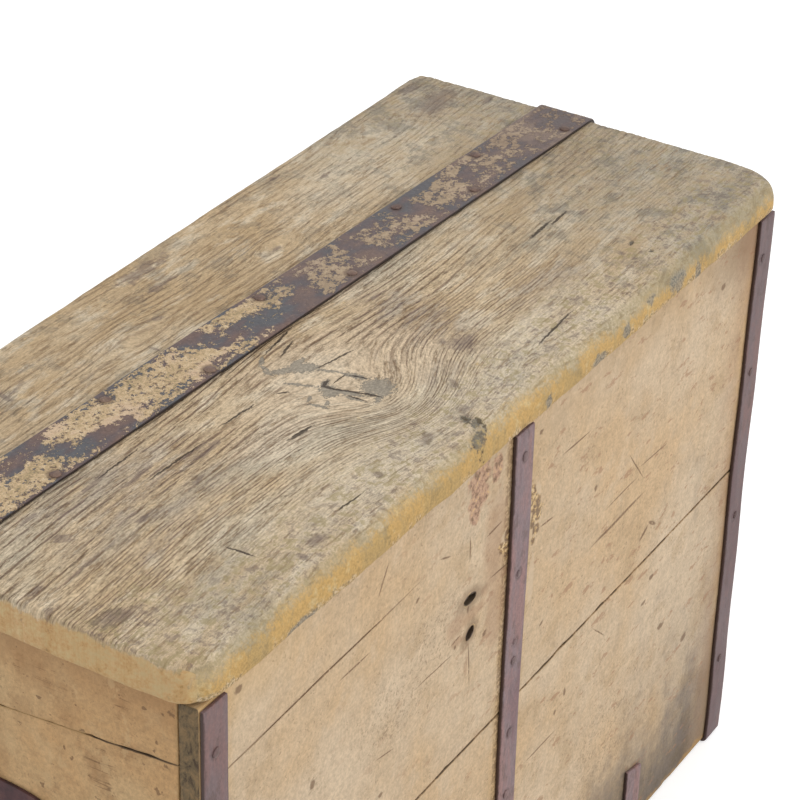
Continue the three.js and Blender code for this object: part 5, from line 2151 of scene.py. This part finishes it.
@dataclass
class Strips:
    """All the flat iron: three hoops, two short under-straps and the strap over the lid's seam."""

    thickness: float = 3.0 * MM
    edge_radius: float = 0.9 * MM
    bend: float = 3.2 * MM
    step: float = 3.0 * MM
    hoop_half: float = 11.6 * MM
    hammer: float = 0.28 * MM
    lid_step: float = 1.25 * MM
    lid_half: float = 22.2 * MM
    lid_bend: float = 7.0 * MM
    lid_hammer: float = 2.4 * 0.28 * MM
    flake: float = 0.22 * MM
    lid_left: float = 48.6 * MM
    lid_right: float = 25.0 * MM
    across_step: float = 2.6 * MM
    edge_band: float = 3.2 * MM
    nail_reach: float = 20.0 * MM
    head_depth: float = 2.0 * MM
    slant: float = 2.6 * MM
    slant_from: float = 30.0 * MM
    sways: tuple[tuple[str, Sway], ...] = (
        ("left", Sway(-347.2 * MM)),
        ("centre", Sway(-3.0 * MM, -4.2 * MM, ((0.9 * MM, 19.0, 0.0),))),
        ("right", Sway(350.8 * MM, 0.0, ((1.5 * MM, 15.0, 0.8), (0.7 * MM, 43.0, 0.0)))))

    def strip(self, route: Route, half: float, flat: bool, drift: Callable[[np.ndarray], np.ndarray],
              nails: Sequence[tuple[float, float, float]], across_step: float) -> Skin:
        """Builds a strip of iron along a route.

        Args:
            route: The route of its middle.
            half: Half its width.
            flat: Whether the route lies in X and Z, as on the lid, and not in Y and Z.
            drift: Where the middle of its width lies for each point along the route.
            nails: The places of its nails.
            across_step: The distance between its lattice lines across.

        Returns:
            The shell.
        """
        points, ways, lengths = route.trace()
        skin = Skin(
            lengths,
            lines(-half, half, across_step, self.edge_radius),
            lines(-self.thickness / 2, self.thickness / 2, self.thickness, self.edge_radius),
        )
        skin.values["edge"] = unit(1 - (half - np.abs(skin.points[:, 1])) / self.edge_band)
        below = self.thickness / 2 - skin.points[:, 2]
        # The side faces, which the finishes paint near-black, partly as painted shade.
        skin.values["side"] = unit(below / self.edge_radius) * (skin.values["edge"] > 0.99)
        skin.eased(self.edge_radius)
        along, wide, thick = skin.points.T
        base = np.stack([np.interp(along, lengths, points[:, i]) for i in (0, 1)], 1)
        way = np.stack([np.interp(along, lengths, ways[:, i]) for i in (0, 1)], 1)
        way = way / np.linalg.norm(way, axis=1, keepdims=True)
        normal = np.stack([-way[:, 1], way[:, 0]], 1) if flat else np.stack([way[:, 1], -way[:, 0]], 1)
        middle = base + normal * thick[:, None]
        over = wide + drift(base)
        if flat:
            skin.points = np.stack([middle[:, 0], over, middle[:, 1]], 1)
        else:
            skin.points = np.stack([over, middle[:, 0], middle[:, 1]], 1)
        far = np.full(len(along), self.nail_reach)
        for nail in nails:
            far = np.minimum(far, np.linalg.norm(skin.points - np.array(nail), axis=1))
        skin.values["nail"] = far
        return skin

    def nail_places(self, prefix: str) -> list[tuple[float, float, float]]:
        """The middles of the heads of the nails whose nodes start with a name.

        Args:
            prefix: How the nodes' names start.

        Returns:
            The middles.
        """
        on_lid = prefix.startswith("lid")
        found = []
        for node in nodes_like(prefix):
            low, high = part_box(node)
            x, y, z = centre_of(node)
            found.append((x, y, high.z - self.head_depth) if on_lid else (x, low.y + self.head_depth, z))
        if on_lid:
            found.append((*LID_END_NAIL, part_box("lid_strap")[1].z))
        return found

    def hoop_height(self, g: Graph, group: NodeGroup) -> Signal:
        """The relief of a hoop: hammered faces, wavy edges and dents round its nails.

        Args:
            g: The graph.
            group: The group that holds the named inputs.

        Returns:
            The height in metres.
        """
        place = g.place()
        slow = g.noise(place, (20.0, 20.0, 14.0), 2.0, 0.5, 30.0) - 0.5
        blow = g.noise(place, (85.0, 85.0, 60.0), 2.0, 0.5, 31.0) - 0.5
        dent = g.attribute("nail").step(0.011, 0.004)
        edge = g.attribute("edge")
        return (1.1 * slow * (1.0 + 2.0 * edge) + blow) * group.input("Hammer") - 0.25 * MM * dent

    def hoops(self) -> None:
        """Builds the hoops and the short under-straps."""
        finish = StrapPaint()
        relief = Relief("strap_relief", finish, self.hoop_height, {"Hammer": self.hammer})
        for place, sway in self.sways:
            node = "hoop_strap_" + place
            skin = self.strip(self.u_route(node), self.hoop_half, False, sway.at,
                              self.nail_places("hoop_nail_" + place), self.across_step)
            made = relief.run(skin.object("hoop_" + place + "_iron"))
            place_piece(made, "case", finish, [node])
        for place in ("left", "right"):
            node = "under_strap_" + place
            across, top = centre_of(node)[0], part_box(node)[1].z
            skin = self.strip(self.u_route(node), self.hoop_half, False, Sway(across).at, [],
                              self.across_step)
            slope = (skin.points[:, 0] - across) / self.hoop_half
            rise = unit((skin.points[:, 2] - self.slant_from) / (top - self.slant_from))
            skin.points[:, 2] -= self.slant * (slope + 0.9) * rise
            made = relief.run(skin.object("under_strap_" + place + "_iron"))
            place_piece(made, "case", finish, [node])

    def u_route(self, node: str) -> Route:
        """The route of a strap that runs down the front, under the case and up the back.

        Args:
            node: The strap's node.

        Returns:
            The route.
        """
        low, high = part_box(node)
        half = self.thickness / 2
        corners = [(low.y + half, high.z), (low.y + half, low.z + half), (high.y - half, low.z + half),
                   (high.y - half, high.z)]
        return Route(corners, self.bend, self.step)

    def lid_height(self, g: Graph, group: NodeGroup) -> Signal:
        """The relief of the lid's strap: flakes of paint, pitted iron, dents and wavy edges.

        Args:
            g: The graph.
            group: The group that holds the named inputs.

        Returns:
            The height in metres.
        """
        place = g.place()
        flakes = WornStrap().flakes(g, place)
        slow = g.noise(place, (14.0, 30.0, 14.0), 2.0, 0.5, 33.0) - 0.5
        pits = g.noise(place, 300.0, 2.0, 0.6, 34.0) - 0.5
        dent = g.attribute("nail").step(0.012, 0.004)
        edge = g.attribute("edge")
        return (flakes * group.input("Flake") + (1.0 + 1.6 * edge) * slow * group.input("Hammer")
                + 0.12 * MM * pits - 0.3 * MM * dent)

    def lid_strap(self) -> None:
        """Builds the strap over the seam of the lid."""
        finish = WornStrap()
        inputs = {"Flake": self.flake, "Hammer": self.lid_hammer}
        relief = Relief("lid_strap_relief", finish, self.lid_height, inputs)
        low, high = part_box("lid_strap")
        half = self.thickness / 2
        corners = [(low.x + half, low.z), (low.x + half, high.z - half), (high.x - half, high.z - half),
                   (high.x - half, low.z)]
        span = high.x - low.x

        def drift(base: np.ndarray) -> np.ndarray:
            """The middle of the strap, which runs a little askew."""
            share = (base[:, 0] - low.x) / span
            return self.lid_left + (self.lid_right - self.lid_left) * share

        skin = self.strip(Route(corners, self.lid_bend, self.lid_step), self.lid_half, True,
                          drift, self.nail_places("lid_strap_nail"), self.lid_step)
        place_piece(relief.run(skin.object("lid_strap_iron")), "lid", finish, ["lid_strap"])

    def build(self) -> None:
        """Builds all the flat iron."""
        self.hoops()
        self.lid_strap()


@dataclass
class Nails:
    """Hand-made nail heads, set by a node group on points that know which way they face."""

    radius: float = 3.9 * MM
    height_share: float = 0.26
    dents: float = 0.5 * MM
    faint: tuple[str, ...] = ("centre_2", "centre_3")
    faint_share: float = 0.62
    front_share: float = 0.9
    back_share: float = 0.95
    right_shift: float = 3.2 * MM
    back_drop: float = 9.0 * MM
    segments: int = 14
    rings: int = 8
    widths: tuple[float, float] = (0.85, 1.12)
    full_turn: float = 6.28
    spin_seed: int = 4
    width_seed: int = 9

    @staticmethod
    def chance(g: Graph, low: float, high: float, seed: int) -> Signal:
        """A number drawn anew for each nail, between two limits."""
        return g.signal("FunctionNodeRandomValue", {"data_type": "FLOAT"},
                        {"Min_001": low, "Max_001": high, "Seed": seed}, "Value_001")

    def group(self, finish: Finish) -> NodeGroup:
        """Builds the group that sets a dented head on each point.

        Args:
            finish: The finish of the heads.

        Returns:
            The group.
        """
        group = NodeGroup("nail_heads_" + finish.name, {"Radius": self.radius, "Dents": self.dents})
        g = group.graph
        head = g.out("GeometryNodeMeshUVSphere", {}, {
            "Segments": self.segments, "Rings": self.rings, "Radius": 1.0}, "Mesh")
        squashed = g.out("GeometryNodeTransform", {}, {
            "Geometry": head, "Scale": (1.0, 1.0, self.height_share)})
        facing = g.attribute_vector("facing")
        turned = g.out("FunctionNodeAlignRotationToVector", {"axis": "Z"}, {"Vector": facing})
        spin = self.chance(g, 0.0, self.full_turn, self.spin_seed)
        twist = g.out("FunctionNodeEulerToRotation", {}, {0: g.joined(0.0, 0.0, spin)})
        final = g.out("FunctionNodeRotateRotation", {"rotation_space": "LOCAL"},
                      {"Rotation": turned, "Rotate By": twist})
        size = g.attribute("size") * group.input("Radius")
        wide = self.chance(g, *self.widths, self.width_seed)
        scale = g.joined(size * wide, size, size)
        spread = g.out("GeometryNodeInstanceOnPoints", {}, {
            "Points": group.start.outputs["Geometry"], "Instance": squashed, "Rotation": final,
            "Scale": scale})
        real = g.out("GeometryNodeRealizeInstances", {}, {"Geometry": spread})
        dent = (g.noise(g.place(), 240.0, 2.0, 0.5, 40.0) - 0.5) * group.input("Dents")
        offset = g.scaled(g.out("GeometryNodeInputNormal"), dent)
        shaped = g.out("GeometryNodeSetPosition", {}, {"Geometry": real, "Offset": offset})
        rounded = g.out("GeometryNodeSetShadeSmooth", {}, {"Geometry": shaped, "Shade Smooth": True})
        group.finish(rounded, finish.material())
        return group

    def cloud(self, name: str, nails: Sequence[tuple[Vector, Vector, float]]) -> bpy.types.Object:
        """Makes the points: each has a place, a way to face and a size.

        Args:
            name: The piece's name.
            nails: The place, the way to face and the size of each nail.

        Returns:
            The object with the points.
        """
        mesh = bpy.data.meshes.new(name)
        mesh.from_pydata([tuple(place) for place, _, _ in nails], [], [])
        facing = mesh.attributes.new("facing", "FLOAT_VECTOR", "POINT")
        facing.data.foreach_set("vector", [part for _, way, _ in nails for part in way])
        size = mesh.attributes.new("size", "FLOAT", "POINT")
        size.data.foreach_set("value", [share for _, _, share in nails])
        return linked(name, mesh)

    def build(self) -> None:
        """Sets the nails of the case and of the lid."""
        out = Vector((0.0, -1.0, 0.0))
        back = Vector((0.0, 1.0, 0.0))
        front_face, back_face = (corner.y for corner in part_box("hoop_strap_left"))
        case: list[tuple[Vector, Vector, float]] = []
        nodes = nodes_like("hoop_nail")
        for node in nodes:
            x, _, z = centre_of(node)
            place = Vector((x, front_face, z))
            if "right" in node:
                place.x += self.right_shift
            case.append((place, out, self.faint_share if node.endswith(self.faint) else self.front_share))
            case.append((Vector((place.x, back_face, place.z - self.back_drop)), back, self.back_share))
        finish = NailPaint()
        made = self.group(finish).run(self.cloud("case_nails", case), Radius=self.radius, Dents=self.dents)
        place_piece(made, "case", finish, nodes)
        lid_nodes = nodes_like("lid_strap_nail")
        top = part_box("lid_strap")[1].z
        places = [centre_of(node)[:2] for node in lid_nodes] + [LID_END_NAIL]
        lid = [(Vector((*place, top)), Vector((0, 0, 1)), 1.0) for place in places]
        rusty = RustyNail()
        made = self.group(rusty).run(self.cloud("lid_nails", lid), Radius=self.radius, Dents=self.dents)
        place_piece(made, "lid", rusty, lid_nodes)


@dataclass
class Ironwork:
    """The hinges and the drop handles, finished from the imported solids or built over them."""

    bevel: float = 0.45 * MM
    bevel_steps: int = 2
    bevel_angle: float = 35.0
    merge_gap: float = 0.01 * MM
    flat_angle: float = 1.0
    sharp_angle: float = 40.0

    def refined(self, node: str, name: str, body: str, finish: Finish) -> bpy.types.Object:
        """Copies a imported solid, merges it and eases its edges.

        Args:
            node: The node to copy.
            name: The piece's name.
            body: The body that it moves with.
            finish: Its finish.

        Returns:
            The piece.
        """
        shell = bmesh.new()
        shell.from_mesh(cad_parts[node].data)
        bmesh.ops.remove_doubles(shell, verts=shell.verts, dist=self.merge_gap)
        bmesh.ops.dissolve_limit(
            shell, angle_limit=math.radians(self.flat_angle), verts=shell.verts, edges=shell.edges)
        made = from_shell(name, shell)
        modifier = made.modifiers.new("edges", "BEVEL")
        modifier.width = self.bevel
        modifier.segments = self.bevel_steps
        modifier.limit_method = "ANGLE"
        modifier.angle_limit = math.radians(self.bevel_angle)
        plain_mesh(made)
        made.data.shade_smooth()
        made.data.set_sharp_from_angle(angle=math.radians(self.sharp_angle))
        made.data.materials.clear()
        place_piece(made, body, finish, [node])
        return made

    def build(self) -> None:
        """Builds the hinges and handles."""
        iron, maroon = DarkIron(), HandleIron()
        for side in ("left", "right"):
            for part, body in (("case_leaf", "case"), ("pin", "case"), ("lid_leaf", "lid")):
                node = "hinge_" + side + "_" + part
                self.refined(node, node + "_wrought", body, iron)
            for part in ("plate", "post_front", "post_back"):
                node = side + "_handle_" + part
                self.refined(node, node + "_wrought", "case", maroon)
            node = side + "_handle_bail"
            self.refined(node, node + "_wrought", side + "_bail", maroon)


def main() -> None:
    """Builds the view, the stage and the chest, piece by piece."""
    logging.basicConfig(level=logging.INFO, format="%(name)s: %(message)s")
    Viewpoint().build()
    Studio().build()
    for part in (Boards(), LidPlanks(), Strips(), Nails(), Ironwork()):
        LOG.info("building %s", type(part).__name__)
        part.build()
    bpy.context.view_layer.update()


if __name__ == "__main__":
    main()
